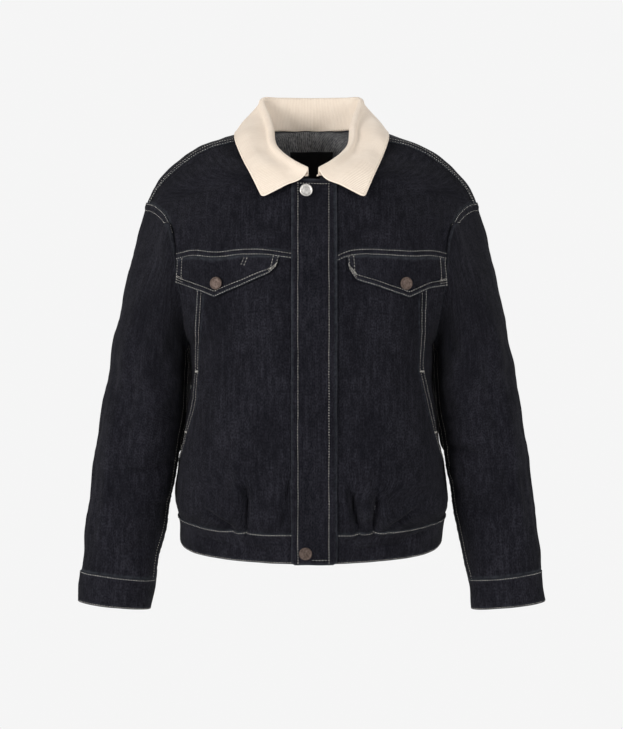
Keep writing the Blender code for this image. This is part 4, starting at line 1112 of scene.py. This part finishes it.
start, end = KEY["shoulder_seam"] - SHOULDER_LAP, KEY["back_yoke_seam"] + BACK_LAP
nape = rows_between(start, KEY["neck_back"], SEWN_EDGE, (0.0,))
blades = rows_between(KEY["neck_back"], end, (0.0,), SEWN_EDGE)
along = np.concatenate([nape, blades[1:]])
halves = []
for side in (-1.0, 1.0):
    middle, edge = np.zeros_like(along), np.ones_like(along)
    places = places_between(body, along, middle, edge, side, PLAIN_EDGE, PLAIN_EDGE)
    normals = body_normals(along[:, None], places, side)
    normals[:, -1] = armhole_mitre(along, side)
    points = body(along[:, None], places, side)
    relief = cloth_relief(points, normals, {"low": 1.0, "high": 1.0}, ("low", "high"), PLY, 0.0,
                          ("right", "low", "high"))
    halves.append((relief, unit(normals)))
rows, columns = len(along), min(half[0][3].shape[1] for half in halves)
index = np.arange(2 * rows * columns).reshape(2, rows, columns)
index[1, len(nape) - 1:, 0] = index[0, len(nape) - 1:, 0]
faces = np.concatenate([grid_quads(index[0]), grid_quads(index[1])[:, ::-1]])
kept, faces = np.unique(faces, return_inverse=True)
stacked = [np.concatenate([half[0][part].reshape(rows * columns, -1) for half in halves])[kept]
           for part in range(4)]
stacked[2][:, 0] *= np.sign(stacked[0][:, 0])
faces = faces.reshape(-1, 4)
outer, inner, flat, edge = stacked
back_yoke = cloth_mesh("back_yoke_panel", outer, inner, faces, flat, edge[:, 0], DENIM_LOOKS)
lines = []
for relief, outs in halves:
    for row in (FIRST_LINE, SECOND_LINE, -1 - FIRST_LINE, -1 - SECOND_LINE):
        lines.append((relief[0][row], outs[row]))
thread = sew("back_yoke_stitches", lines)
finish_panel((back_yoke,), "back_yoke")

along = rows_between(KEY["back_yoke_seam"] + SEAM_HALF, END_KEY - seam_low, PLAIN_EDGE, PLAIN_EDGE)
below_arm = along > SLEEVE_END
last = np.where(below_arm, 2 - side_seam(END_KEY - along, 2), 1.0)
places = places_between(body, along, -last, last, 1.0, PLAIN_EDGE, PLAIN_EDGE)
normals = body_normals(along[:, None], places, 1.0)
for column, side in ((0, -1.0), (-1, 1.0)):
    normals[~below_arm, column] = armhole_mitre(along[~below_arm], side)
back = cloth_panel("back_panel", body(along[:, None], places, 1.0), normals,
                   puckers=("low", "high", "left", "right"), looks=DENIM_LOOKS)
finish_panel(back, "back")


# ---------------------------------------------------------------- chest pocket flaps
# Doubled denim flaps with one low point each, sewn in under the yoke's edge and stitched
# round their sides and lower edge with two rows. A short pair of slanted rows on the right
# flap marks the slot for a pen.

# distance from the middle and height of the top edge, then the same of the lower edge
FLAP_ROWS = {
    -1.0: [(43.5, 46.5, -195.0), (52.0, 57.0, -203.0), (90.0, 92.0, -218.5), (129.0, 130.0, -234.5),
           (160.0, 161.0, -222.0), (184.0, 184.5, -212.5)],
    1.0: [(48.5, 49.5, -197.0), (58.0, 60.5, -212.5), (92.0, 94.0, -223.5), (130.0, 132.0, -235.5),
          (160.0, 160.0, -221.5), (184.0, 184.5, -217.0)],
}
FLAP_PLY = 1.7
FLAP_TOP_LIFT, FLAP_LOW_LIFT = 1.9, 3.9
FLAP_RIM = 0.3
FLAP_SHORTEST = 30.0
PEN_SLOT = [((-91.0, -182.5), (-94.5, -190.0)), ((-87.0, -183.0), (-90.5, -191.0))]

for side in (1.0, -1.0):
    table = np.array(FLAP_ROWS[side])
    width = np.array([table[-1, 0] - table[0, 0]])
    key = table[0, 0] + width * spread(width, SEWN_EDGE, SEWN_EDGE)[0]
    low_x, low_z = (np.interp(key, table[:, 0], table[:, column]) for column in (1, 2))
    # The corner at the inner end is rounded off
    corner = np.clip(1 - (key - key[0]) / 9.0, 0, 1)
    low_z += 5.0 * (1 - np.sqrt(1 - corner ** 2))
    top_z = yoke_edge(key, side) - 0.4
    share = spread(np.maximum(top_z - low_z, FLAP_SHORTEST), PLAIN_EDGE, SEWN_EDGE).T
    x = side * (key * (1 - share) + low_x * share)
    z = top_z * (1 - share) + low_z * share
    flap_along, flap_across = find_front(x, z)
    lift = FLAP_TOP_LIFT + (FLAP_LOW_LIFT - FLAP_TOP_LIFT) * share ** 1.6
    flap = cloth_panel("pocket_flap_" + WORD[side], body(flap_along, flap_across, side),
                       body_normals(flap_along, flap_across, side), ply=FLAP_PLY, lift=lift,
                       laps={"left": FLAP_RIM, "right": FLAP_RIM, "high": FLAP_RIM},
                       puckers=("high", "left", "right"), looks=(denim,))
    lines = []
    for inset in (FIRST_LINE, SECOND_LINE):
        lines.append(column_line(flap, inset, 1, -inset))
        lines.append(row_line(flap, -1 - inset, inset, -inset))
        lines.append(column_line(flap, -1 - inset, 1, -inset))
    threads = [sew("pocket_flap_stitches_" + WORD[side], lines)]
    # Bar tacks across the rows at both ends of the lower edge
    tacks = []
    for first, last in ((FIRST_LINE - 1, SECOND_LINE + 2), (-2 - SECOND_LINE, -FIRST_LINE)):
        for row in (-2 - SECOND_LINE, -1 - SECOND_LINE, -SECOND_LINE):
            tacks.append(row_line(flap, row, first, last))
    threads.append(sew("pocket_flap_tacks_" + WORD[side], tacks, pitch=1.5, lift=0.35))
    if side < 0:
        slot = []
        for start, end in PEN_SLOT:
            line = np.linspace(start, end, 4)
            line_along, line_across = find_front(line[:, 0], line[:, 1])
            outs = body_normals(line_along, line_across, side)
            slot.append((body(line_along, line_across, side) + outs * (FLAP_TOP_LIFT + 0.35), outs))
        threads.append(sew("pen_slot_stitches", slot))
    finish_panel(flap, "flap_" + WORD[side])


# ---------------------------------------------------------------- sleeves
# Each sleeve is two pieces of denim. The upper one laps over the under one at the back seam
# and under the arm, and both lap over the body at the armhole, all sewn with two rows.

SLEEVE_LAP = 3.0
ARMHOLE_RISE = 1.15
SLEEVE_TOP_CUT = (0.431, 0.528, 0.1262)
SLEEVE_UNDER_CUT = (0.149, 0.383, 0.0335)

for side in (1.0, -1.0):
    down = rows_between(0.0, CUFF_SEAM - SEAM_HALF, SEWN_EDGE, PLAIN_EDGE)
    lap = SLEEVE_LAP * ease(down / 14)
    begin, split, finish = (np.full(down.shape, key) for key in (SLEEVE_START, SLEEVE_SPLIT, SLEEVE_END))
    pieces = [
        ("top", stepped(sleeve, down, begin, side, -lap), stepped(sleeve, down, split, side, lap),
         SEWN_EDGE, {"low": ARMHOLE_RISE, "left": 0.9, "right": 0.9}, SLEEVE_TOP_CUT),
        ("under", split, finish, PLAIN_EDGE, {"low": ARMHOLE_RISE}, SLEEVE_UNDER_CUT),
    ]
    for part, start, end, edges, laps, cut in pieces:
        places = places_between(sleeve, down, start, end, side, edges, edges)
        normals = sleeve_normals(down[:, None], places, side)
        normals[0] = armhole_mitre(places[0], side)
        panel = cloth_panel("sleeve_" + part + "_panel_" + WORD[side], sleeve(down[:, None], places, side),
                            normals, laps=laps, puckers=("low", "high", "left", "right"), looks=DENIM_LOOKS)
        lines = [row_line(panel, FIRST_LINE), row_line(panel, SECOND_LINE)]
        if part == "top":
            for column in (FIRST_LINE, SECOND_LINE, -1 - FIRST_LINE, -1 - SECOND_LINE):
                lines.append(column_line(panel, column, SECOND_LINE))
        thread = sew("sleeve_" + part + "_stitches_" + WORD[side], lines)
        finish_panel(panel, "sleeve_" + part + "_" + WORD[side])


# ---------------------------------------------------------------- cuffs
# A folded band of denim round each wrist, with one row of stitches along the sleeve and one
# along its lower edge. The outer end laps over the inner one at the back seam.

BAND_PLY = 2.2
CUFF_LIFT = 1.2
CUFF_LAP = 40.0
CUFF_LAP_RISE = 3.2
EDGE_ROW = (0.0, 0.5, 1.8, 4.5)

for side in (1.0, -1.0):
    down = rows_between(CUFF_SEAM + SEAM_HALF, CUFF_END, EDGE_ROW, EDGE_ROW, 2.6)
    start = np.full(down.shape, SLEEVE_SPLIT)
    places = places_between(sleeve, down, start, start + SLEEVE_SPAN + CUFF_LAP, side, PLAIN_EDGE, EDGE_ROW)
    over = ease((places - SLEEVE_SPLIT - SLEEVE_SPAN + 16) / 16)
    cuff = cloth_panel("cuff_band_" + WORD[side], sleeve(down[:, None], places, side),
                       sleeve_normals(down[:, None], places, side), ply=BAND_PLY,
                       puckers=("low", "high"), lift=CUFF_LIFT + CUFF_LAP_RISE * over, looks=(denim,))
    lines = [row_line(cuff, 2), row_line(cuff, -3), column_line(cuff, -3, 2, -2)]
    thread = sew("cuff_stitches_" + WORD[side], lines)
    finish_panel(cuff, "cuff_" + WORD[side])


# ---------------------------------------------------------------- waistband
# One folded band of denim round the hem, open at the middle of the front under the placket.
# The body's fullness is drawn in above it by the seam, and it is stitched at both edges.

BAND_LIFT = 1.3
BAND_OVER = 2.0
BAND_TOP_RISE = 1.3

along = rows_between(KEY["band_bottom"], KEY["band_top"] + BAND_OVER, EDGE_ROW, EDGE_ROW, 2.8)
halves = []
for side in (-1.0, 1.0):
    middle_back = np.full(along.shape, 2.0)
    places = places_between(ring, along, front_inner(along, side), middle_back, side, PLAIN_EDGE, (0.0,))
    halves.append((ring(along[:, None], places, side), ring_normals(along[:, None], places, side)))
points, normals = (np.concatenate([halves[0][part], halves[1][part][:, -2::-1]], axis=1) for part in (0, 1))
top_rise = BAND_TOP_RISE * ease(1 - (along[-1] - along) / 7)[:, None]
band = cloth_panel("waistband_panel", points, normals, ply=BAND_PLY, lift=BAND_LIFT + top_rise,
                   puckers=("low", "high"), looks=(denim,))
thread = sew("waistband_stitches", [row_line(band, 2), row_line(band, -3)])
finish_panel(band, "waistband")


# ---------------------------------------------------------------- placket
# The doubled denim strip down the front that hides all buttons but the top and bottom one.
# A row of stitches runs down near each side, with a short row across at the top and bottom.

PLACKET_RIGHT, PLACKET_LEFT = -27.3, 34.6
PLACKET_PLY = 2.0
PLACKET_LIFT = 2.6
PLACKET_BAND_LIFT = 1.1
PLACKET_CORNER = 5.0
RIGHT_ROW = (0.0, 0.5, 4.5, 9.0)
LEFT_ROW = (0.0, 0.5, 5.6, 11.2)
END_ROW = (0.0, 0.5, 3.5, 7.0)

width = np.array([PLACKET_LEFT - PLACKET_RIGHT])
x = PLACKET_RIGHT + width * spread(width, RIGHT_ROW, LEFT_ROW)[0]
from_side = np.minimum(x - PLACKET_RIGHT, PLACKET_LEFT - x)
corner = np.clip(1 - from_side / PLACKET_CORNER, 0, 1)
lowest = KEY["band_bottom"] - 0.8 + PLACKET_CORNER * (1 - np.sqrt(1 - corner ** 2))
highest = KEY["neck_front"] - 0.3
along = lowest + (highest - lowest) * spread(highest - lowest, END_ROW, END_ROW).T
distance = np.broadcast_to(np.abs(x), along.shape)
places = across_at(along, distance) * np.sign(x)
lift = PLACKET_LIFT + PLACKET_BAND_LIFT * ease((KEY["band_top"] + 6 - along) / 6)
placket = cloth_panel("placket_strip", body(along, places, 1.0), body_normals(along, places, 1.0),
                      ply=PLACKET_PLY, lift=lift, puckers=("left", "right"), looks=(denim,))
lines = [column_line(placket, 3), column_line(placket, -4), row_line(placket, -4, 3, -3),
         row_line(placket, 3, 9, -3)]
thread = sew("placket_stitches", lines)
finish_panel(placket, "placket")


# ---------------------------------------------------------------- collar
# Cream corduroy: stand, roll and fall in one, cut with its fine cords running from the neck
# out to the edge, which is stitched round close to its fold. It is sewn on at the neck edge.

# row of the body that it stands on, top of the roll (x, y, z), heading of the fall in
# degrees from +X, outer edge (x, y, z), on the left half from the front to the middle back
COLLAR_ROWS = [
    ("neck_front", (6.5, -102, -57), -84, (70, -116, -99)),
    ("neck_side", (27, -88, -44.5), -62, (84, -95, -68)),
    ("neck_slope", (53.5, -48, -16), -28, (98, -62, -38)),
    ("shoulder_seam", (59, -12, 16), -8, (109, -28, -8)),
    ("ridge", (64, 9, 33), 2, (110.5, 6, 4)),
    ("nape_side", (71, 43, 59), 32, (107, 52, -3)),
    ("nape", (46, 58, 62), 66, (66, 82, -5)),
    ("neck_back", (0, 62, 62), 90, (0, 92, -4)),
]
COLLAR_ROLL = 5.6
NECK_END_SHARE = 0.16
COLLAR_SHIFT = 2.5
COLLAR_BULGE = (1.0, 4.5)
COLLAR_SPINE_SHARES = [0.0, 0.36, 0.42, 0.46, 0.5, 0.56, 0.77, 1.0]
COLLAR_FOOT_GAP = 0.7
COLLAR_PLY = 2.6
COLLAR_POINT = 6.0
CORD_PITCH = 2.6
# How far from the collar's edge and from its two ends the cords have their full height
CORD_FADE_EDGE, CORD_FADE_END = 5.0, 4.0
# The rounding of its rim, as a share of the ply, and its width
COLLAR_ROUNDED, COLLAR_ROUNDED_WIDTH = 0.42, 1.6
CORD_HEIGHT = 0.32
CORD_STEPS = 4
COLLAR_STITCH = 2.8
COLLAR_ACROSS = (0.0, 0.8, 2.0)
COLLAR_EDGE = (0.0, 0.7, 1.6, COLLAR_STITCH, 4.4)


def collar_spine(side, along):
    """Eight lines of the collar from its foot over the roll to the edge, front to back."""
    neck_end = KEY["neck_front"] + NECK_END_SHARE * (KEY["neck_side"] - KEY["neck_front"])
    stations = [neck_end] + [KEY[row[0]] for row in COLLAR_ROWS[1:]]
    table = [(*row[1], row[2], *row[3]) for row in COLLAR_ROWS]
    # The next row beyond the middle of the back is the mirror of the last but one
    x, y, z, turn, edge_x, edge_y, edge_z = table[-2]
    table.append((-x, y, z, 180 - turn, -edge_x, edge_y, edge_z))
    values = smooth_table(stations + [2 * stations[-1] - stations[-2]], table, along)
    roll, edge = values[:, :3].copy(), values[:, 4:].copy()
    heading = np.radians(values[:, 3])
    out = np.stack([np.cos(heading), np.sin(heading), 0 * heading], axis=-1)
    share = (along - stations[0]) / (stations[-1] - stations[0])
    for part in (roll, edge, out):
        part[:, 0] *= side
    shift = np.zeros_like(roll)
    shift[:, 0] = COLLAR_SHIFT * (1 - share) ** 4
    roll, edge = roll + shift, edge + shift
    bulge = COLLAR_BULGE[0] + (COLLAR_BULGE[1] - COLLAR_BULGE[0]) * share * (2 - share)
    down = np.array([0.0, 0.0, -COLLAR_ROLL])
    # The foot runs level and square over the middle of the back
    near_end = stations[-1] - 0.6
    run = np.append(along, [near_end, stations[-1]])
    foot = body(run, 0.0, side) + body_normals(run, 0.0, side) * COLLAR_FOOT_GAP
    slope = (foot[-1, 1:] - foot[-2, 1:]) / (stations[-1] - near_end)
    foot = foot[:-2]
    approach = np.clip((along - stations[-2]) / (stations[-1] - stations[-2]), 0, 1) ** 2
    foot[:, 1:] -= slope * (approach * (along - stations[-1]))[:, None]
    side_way = out * COLLAR_ROLL
    # The cut edge at the front hangs straight from the roll to the point
    droop = ((1 - share) ** 6)[:, None]
    roll_droop = droop * np.array([5.0 * side, 0.0, -4.0])
    fall_droop = droop * np.array([0.0, 0.0, -4.5])
    return np.array([
        foot,
        roll - side_way + down * 1.2,
        roll - side_way * 0.72 + down * 0.3,
        roll,
        roll + side_way * 0.72 + down * 0.3,
        roll + side_way + down * 1.2 + roll_droop,
        (roll + side_way + edge) / 2 + out * bulge[:, None] + fall_droop,
        edge,
    ]), stations


stations = collar_spine(1.0, np.array([KEY["nape"]]))[1]
sample = np.linspace(stations[0], stations[-1], 200)
sample_lines = collar_spine(1.0, sample)[0]
runs = np.linalg.norm(np.diff(sample_lines[[0, 3, 7]], axis=1), axis=2).mean(axis=0).cumsum()
runs = np.concatenate([[0.0], runs])
cords = int(round(runs[-1] / CORD_PITCH))
run = np.linspace(0, runs[-1], cords * CORD_STEPS + 1)
run = np.concatenate([run[:1], [0.7], run[1:]])
along = np.interp(run, runs, sample)
halves = [collar_spine(side, along)[0] for side in (-1.0, 1.0)]
spine = np.concatenate([halves[0], halves[1][:, -2::-1]], axis=1)
spine[:, len(along) - 1, 0] = 0.0
whole_run = np.concatenate([run, 2 * run[-1] - run[-2::-1]])
# Even rows from foot to edge along the spine's own length in the middle of each half
fine = smooth_table(COLLAR_SPINE_SHARES, spine, np.linspace(0, 1, 400))
lengths = np.linalg.norm(np.diff(fine, axis=0), axis=2).mean(axis=1).cumsum()
lengths = np.concatenate([[0.0], lengths])
rows = lengths[-1] * spread(lengths[-1], COLLAR_ACROSS, COLLAR_EDGE, 2.9)[0]
points = smooth_table(COLLAR_SPINE_SHARES, spine, np.interp(rows, lengths, np.linspace(0, 1, 400)))
# The point of each fall is rounded off
to_end = np.minimum(whole_run, whole_run[-1] - whole_run)
corner_u = np.clip(1 - to_end / COLLAR_POINT, 0, 1)[None, :]
corner_v = np.clip(1 - (rows[-1] - rows) / COLLAR_POINT, 0, 1)[:, None]
shrink = 1 - np.maximum(corner_u, corner_v) / np.maximum(np.hypot(corner_u, corner_v), 1e-6)
run_across, run_along = unit(np.gradient(points, axis=0)), unit(np.gradient(points, axis=1))
inwards = np.where(whole_run < whole_run[-1] / 2, 1.0, -1.0)[None, :]
points = points + COLLAR_POINT * ((corner_u * shrink * inwards)[..., None] * run_along
                                  - (corner_v * shrink)[..., None] * run_across)
run_across, run_along = np.gradient(points, axis=0), np.gradient(points, axis=1)
normals = unit(np.cross(run_along, run_across))
away_from_edge = rows[-1] - rows
cord = np.abs(np.cos(math.pi * whole_run / CORD_PITCH)) ** 0.8
flattened = ease(away_from_edge / CORD_FADE_EDGE)[:, None] * ease(to_end / CORD_FADE_END)
fall = ease((rows - 0.45 * rows[-1]) / 12)[:, None]
soft = 0.5 * np.sin(whole_run * 0.11 + 0.9 * np.sin(whole_run * 0.04)) * np.sin(rows * 0.09)[:, None] * fall
if (normals[3, len(along) - 1] * np.array([0, -1, 0])).sum() < 0:
    normals = -normals
border = np.minimum(np.minimum(rows, away_from_edge)[:, None], to_end)
rounding = COLLAR_ROUNDED * COLLAR_PLY * (1 - ease(border / COLLAR_ROUNDED_WIDTH))
heights = CORD_HEIGHT * (cord - 1) * (0.35 + 0.65 * flattened) + soft
outer = points + normals * (heights - rounding)[..., None]
inner = points + normals * (rounding - COLLAR_PLY)[..., None]
flat = np.stack(np.meshgrid(whole_run, rows), axis=-1)
index = np.arange(border.size).reshape(border.shape)


def corduroy_material():
    """Brushed cotton pile in cords, with painted shade in the valleys between them, soft and matt."""
    look, tree, shader = new_material("cream_corduroy", roughness=0.9, specular=0.2, sheen=0.25,
                                      sheen_roughness=0.4)
    cloth_place = uv_place(tree)
    wave = tree.nodes.new("ShaderNodeTexWave")
    tree.links.new(cloth_place, wave.inputs["Vector"])
    wave.inputs["Scale"].default_value = math.tau / 20 / (CORD_PITCH * MM)
    wave.inputs["Phase Offset"].default_value = math.pi / 2
    pile = scaled_noise(tree, cloth_place, (2400, 900, 1))
    cloud = scaled_noise(tree, cloth_place, (34, 20, 1), detail=3.0)
    nap = scaled_noise(tree, cloth_place, (420, 60, 1))
    # Painted shade: the colour is darker in the valleys between the cords, following their relief
    cord_shade_mask = ramp(tree, wave.outputs["Fac"], 0.0, 0.55, 0.0, 1.0)
    tone = weighted(tree, (cord_shade_mask, 0.55), (ramp(tree, cloud, 0.3, 0.7), 0.30),
                    (ramp(tree, nap, 0.35, 0.65), 0.15))
    colour = blend_colour(tree, tone, (0.73, 0.61, 0.495), (0.92, 0.805, 0.68))
    tree.links.new(colour, shader.inputs["Base Color"])
    bump_into(tree, shader, weighted(tree, (pile, 0.5), (wave.outputs["Fac"], 0.4)), 0.0004)
    return look


corduroy = corduroy_material()
cream_thread = thread_material("cream_thread", (0.80, 0.72, 0.60), (0.62, 0.54, 0.43))
collar_piece = cloth_mesh("corduroy_collar", outer.reshape(-1, 3), inner.reshape(-1, 3), grid_quads(index),
                          flat.reshape(-1, 2), np.exp(-border / 2.0).reshape(-1), (corduroy,))
collar = (collar_piece, outer, normals)
edge_row = len(rows) - 1 - COLLAR_EDGE.index(COLLAR_STITCH)
end_column = 1 + CORD_STEPS
lines = [row_line(collar, edge_row, end_column, -end_column),
         column_line(collar, end_column, len(rows) // 2, edge_row + 1),
         column_line(collar, -1 - end_column, len(rows) // 2, edge_row + 1)]
thread = sew("collar_stitches", lines, thread=cream_thread, width=0.75)
foot_thread = sew("collar_foot_stitches", [row_line(collar, 1, 10, -10)], thread=cream_thread, width=1.1,
                  lift=0.5)
finish_panel(collar, "collar")


# ---------------------------------------------------------------- neck label
# A plain black woven label inside the back yoke, sewn down along both of its ends with black thread.

LABEL_HALF = 31.0
LABEL_TOP_Z, LABEL_DROP = -15.5, 52.0
LABEL_PITCH = 3.0
LABEL_PLY = 1.0
LABEL_DEPTH = PLY + 0.9

x = rows_between(-LABEL_HALF, LABEL_HALF, EDGE_ROW, EDGE_ROW, LABEL_PITCH)
heights = LABEL_TOP_Z - rows_between(0.0, LABEL_DROP, EDGE_ROW, EDGE_ROW, LABEL_PITCH)
distance = np.broadcast_to(np.abs(x), (len(heights), len(x)))
# The rows are level: the place down the back is found for each corner of the grid
low = np.full(distance.shape, KEY["neck_back"])
high = np.full(distance.shape, KEY["back_yoke_seam"])
for _ in range(HALVINGS):
    rows_along = (low + high) / 2
    above = plain_body(rows_along, across_at(rows_along, distance), 1.0)[..., 2] > heights[:, None]
    low, high = np.where(above, rows_along, low), np.where(above, high, rows_along)
places = across_at(rows_along, distance) * np.sign(x)
inside = -body_normals(rows_along, places, 1.0)
label_points = body(rows_along, places, 1.0) + inside * (LABEL_DEPTH + LABEL_PLY)


def woven_label_material():
    look, tree, shader = new_material("black_woven_label", roughness=0.6, specular=0.12)
    cloth_place = uv_place(tree)
    weave = scaled_noise(tree, cloth_place, (2600, 700, 1), detail=1.0)
    colour = blend_colour(tree, ramp(tree, weave, 0.35, 0.65), (0.0045, 0.0043, 0.0046),
                          (0.012, 0.0115, 0.012))
    tree.links.new(colour, shader.inputs["Base Color"])
    bump_into(tree, shader, weave, 0.0002)
    return look


label_look = woven_label_material()
black_thread = thread_material("black_thread", (0.02, 0.02, 0.02), (0.012, 0.012, 0.013))
label = cloth_panel("woven_neck_label", label_points, inside, ply=LABEL_PLY, looks=(label_look,))
thread = sew("neck_label_stitches", [column_line(label, 2, 1, -1), column_line(label, -3, 1, -1)],
             thread=black_thread, pitch=2.4, width=0.6)
finish_panel(label, "neck_label")


# ---------------------------------------------------------------- buttons
# Turned metal jeans buttons, pressed through the cloth: a rolled rim round a shallow dish
# with a low dome in the middle, on a short neck. The top one is pale and worn, the others
# are copper-brown.

BUTTON_RADIUS = 8.8
# share of the radius, height over the cloth
BUTTON_PROFILE = [
    (0.36, -1.3), (0.40, -0.1), (0.80, 0.05), (0.95, 0.35), (1.0, 1.1), (1.0, 1.9), (0.975, 2.5),
    (0.93, 2.95), (0.865, 3.15), (0.80, 3.05), (0.755, 2.75), (0.735, 2.45), (0.69, 2.4),
    (0.55, 2.5), (0.40, 2.72), (0.25, 2.92), (0.12, 3.02),
]
BUTTON_CROWN = 3.05
BUTTON_SIDES = 48
FLAP_BUTTON = (127.0, -216.0)
PLACKET_BUTTON_LIFT = 3.15
FLAP_BUTTON_LIFT = 3.67


def metal_material(name, light, dark, roughness):
    """Plated brass in brighter and duller patches, with fine scratches that vary its roughness."""
    look, tree, shader = new_material(name, metallic=1.0)
    place = object_place(tree)
    patch = scaled_noise(tree, place, (420, 420, 420), detail=3.0)
    scratch = scaled_noise(tree, place, (1500, 1500, 260), detail=1.0)
    colour = blend_colour(tree, ramp(tree, patch, 0.3, 0.7), dark, light)
    tree.links.new(colour, shader.inputs["Base Color"])
    dulled = ramp(tree, scratch, 0.3, 0.7, roughness - 0.08, roughness + 0.1)
    tree.links.new(dulled, shader.inputs["Roughness"])
    bump_into(tree, shader, patch, 0.00012)
    return look


pewter = metal_material("worn_pewter", (0.90, 0.87, 0.83), (0.60, 0.57, 0.54), 0.46)
copper = metal_material("copper_brown", (0.19, 0.145, 0.125), (0.085, 0.062, 0.052), 0.68)
# name, x, z, material, slot
PLACKET_BUTTONS = [("top", -7.5, -90.0, pewter, "pewter"), ("bottom", -8.0, -581.0, copper, "bronze")]


def turned_button(name, node, centre, normal, look, slot):
    """Turns the profile about the way out of the cloth."""
    level = unit(np.cross([0.0, 0.0, 1.0], normal))
    upright = np.cross(normal, level)
    turn = math.tau * np.arange(BUTTON_SIDES) / BUTTON_SIDES
    radial = level * np.cos(turn)[:, None] + upright * np.sin(turn)[:, None]
    rings = [centre + radial * share * BUTTON_RADIUS + normal * height for share, height in BUTTON_PROFILE]
    ends = [centre + normal * BUTTON_PROFILE[0][1], centre + normal * BUTTON_CROWN]
    points = np.concatenate(rings + [ends])
    index = np.arange(len(rings) * BUTTON_SIDES).reshape(len(rings), BUTTON_SIDES)
    faces = grid_quads(np.concatenate([index, index[:, :1]], axis=1)).tolist()
    after = np.roll(index, -1, axis=1)
    under, crown = index.size, index.size + 1
    faces += [(under, b, a) for a, b in zip(index[0].tolist(), after[0].tolist())]
    faces += [(crown, a, b) for a, b in zip(index[-1].tolist(), after[-1].tolist())]
    mesh = bpy.data.meshes.new(name)
    mesh.from_pydata((points * MM).tolist(), [], faces)
    mesh.materials.append(look)
    mesh.shade_smooth()
    button = new_object(name, mesh)
    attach(button, "root")
    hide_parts(node)


def cloth_spot(x, z, lift):
    """A place on the front moved out from the cloth, and the way out."""
    spot_along, spot_across = find_front(np.array([x]), np.array([z]))
    half = math.copysign(1.0, x)
    normal = body_normals(spot_along, spot_across, half)[0]
    return body(spot_along, spot_across, half)[0] + normal * lift, normal


for word, x, z, look, slot_name in PLACKET_BUTTONS:
    spot = cloth_spot(x, z, PLACKET_BUTTON_LIFT)
    turned_button("placket_button_" + word, "button_" + word, *spot, look, slot_name)
for side in (1.0, -1.0):
    spot = cloth_spot(side * FLAP_BUTTON[0], FLAP_BUTTON[1], FLAP_BUTTON_LIFT)
    turned_button("flap_button_" + WORD[side], "button_flap_" + WORD[side], *spot, copper, "bronze")
    around = np.array([SLEEVE_SPLIT + SLEEVE_SPAN + 20.0])
    middle = np.array([(CUFF_SEAM + CUFF_END) / 2])
    normal = sleeve_normals(middle, around, side)[0]
    centre = sleeve(middle, around, side)[0] + normal * (CUFF_LIFT + CUFF_LAP_RISE + 0.2)
    turned_button("cuff_button_" + WORD[side], "button_cuff_" + WORD[side], centre, normal, copper, "bronze")


# ---------------------------------------------------------------- studio
# The floor that the wearer would stand on, pale and plain, with soft light from all round
# and a broad lamp on either side in front. The camera is level, 2.5 m from the jacket.

FLOOR_DROP = -1.45
PAPER = (0.915, 0.915, 0.915)
SOFT_LIGHT = 0.38
CAMERA_DISTANCE = 2.5
CAMERA_HEIGHT = -0.326
CAMERA_LENS = 86.9

floor_mesh = bpy.data.meshes.new("studio_floor")
floor_corners = [(-14, -14), (14, -14), (14, 14), (-14, 14)]
floor_mesh.from_pydata([(x, y, FLOOR_DROP) for x, y in floor_corners], [], [(0, 1, 2, 3)])
floor_look, floor_tree, floor_shader = new_material("studio_floor", roughness=0.9)
floor_shader.inputs["Base Color"].default_value = (0.80, 0.80, 0.80, 1)
# The camera sees the floor in the tone of the wall, so no line shows between them
glow = add_node(floor_tree, "ShaderNodeEmission", Color=(*PAPER, 1), Strength=1.0)
seen = floor_tree.nodes.new("ShaderNodeLightPath").outputs["Is Camera Ray"]
either = add_node(floor_tree, "ShaderNodeMixShader", _0=seen, _1=floor_shader.outputs[0], _2=glow.outputs[0])
floor_tree.links.new(either.outputs[0], floor_tree.nodes["Material Output"].inputs["Surface"])
floor_mesh.materials.append(floor_look)
new_object("studio_floor", floor_mesh)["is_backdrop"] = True

world = bpy.data.worlds.new("studio")
world.use_nodes = True
world_tree = world.node_tree
backdrop = world_tree.nodes["Background"]
backdrop.inputs["Color"].default_value = (*PAPER, 1)
soft_light = add_node(world_tree, "ShaderNodeBackground", Color=(1, 1, 1, 1), Strength=SOFT_LIGHT)
seen = world_tree.nodes.new("ShaderNodeLightPath").outputs["Is Camera Ray"]
either = add_node(world_tree, "ShaderNodeMixShader", _0=seen, _1=soft_light.outputs[0],
                  _2=backdrop.outputs[0])
world_tree.links.new(either.outputs[0], world_tree.nodes["World Output"].inputs["Surface"])
bpy.context.scene.world = world
bpy.context.scene.view_settings.view_transform = "Standard"

# Each lamp faces the middle of the jacket
LAMP_AIM = (0.0, 0.0, -0.3)
# name, place, width, power
LAMPS = [
    ("lamp_left", (-2.3, -2.0, 0.35), 1.2, 72),
    ("lamp_right", (2.3, -2.1, 0.0), 1.5, 42),
    ("lamp_behind", (0.3, 2.6, 1.6), 2.0, 40),
]
for lamp_name, lamp_place, lamp_width, lamp_power in LAMPS:
    lamp_data = bpy.data.lights.new(lamp_name, "AREA")
    lamp_data.size = lamp_width
    lamp_data.energy = lamp_power
    lamp = new_object(lamp_name, lamp_data)
    lamp.location = lamp_place
    aim_x, aim_y, aim_z = np.array(LAMP_AIM) - np.array(lamp_place)
    tilt = math.atan2(math.hypot(aim_x, aim_y), -aim_z)
    lamp.rotation_euler = (tilt, 0, math.atan2(aim_x, -aim_y) + math.pi)

camera_data = bpy.data.cameras.new("camera")
camera_data.lens = CAMERA_LENS
camera = new_object("camera", camera_data)
camera.location = (0, -CAMERA_DISTANCE, CAMERA_HEIGHT)
camera.rotation_euler = (math.radians(90), 0, 0)
bpy.context.scene.camera = camera

low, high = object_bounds()
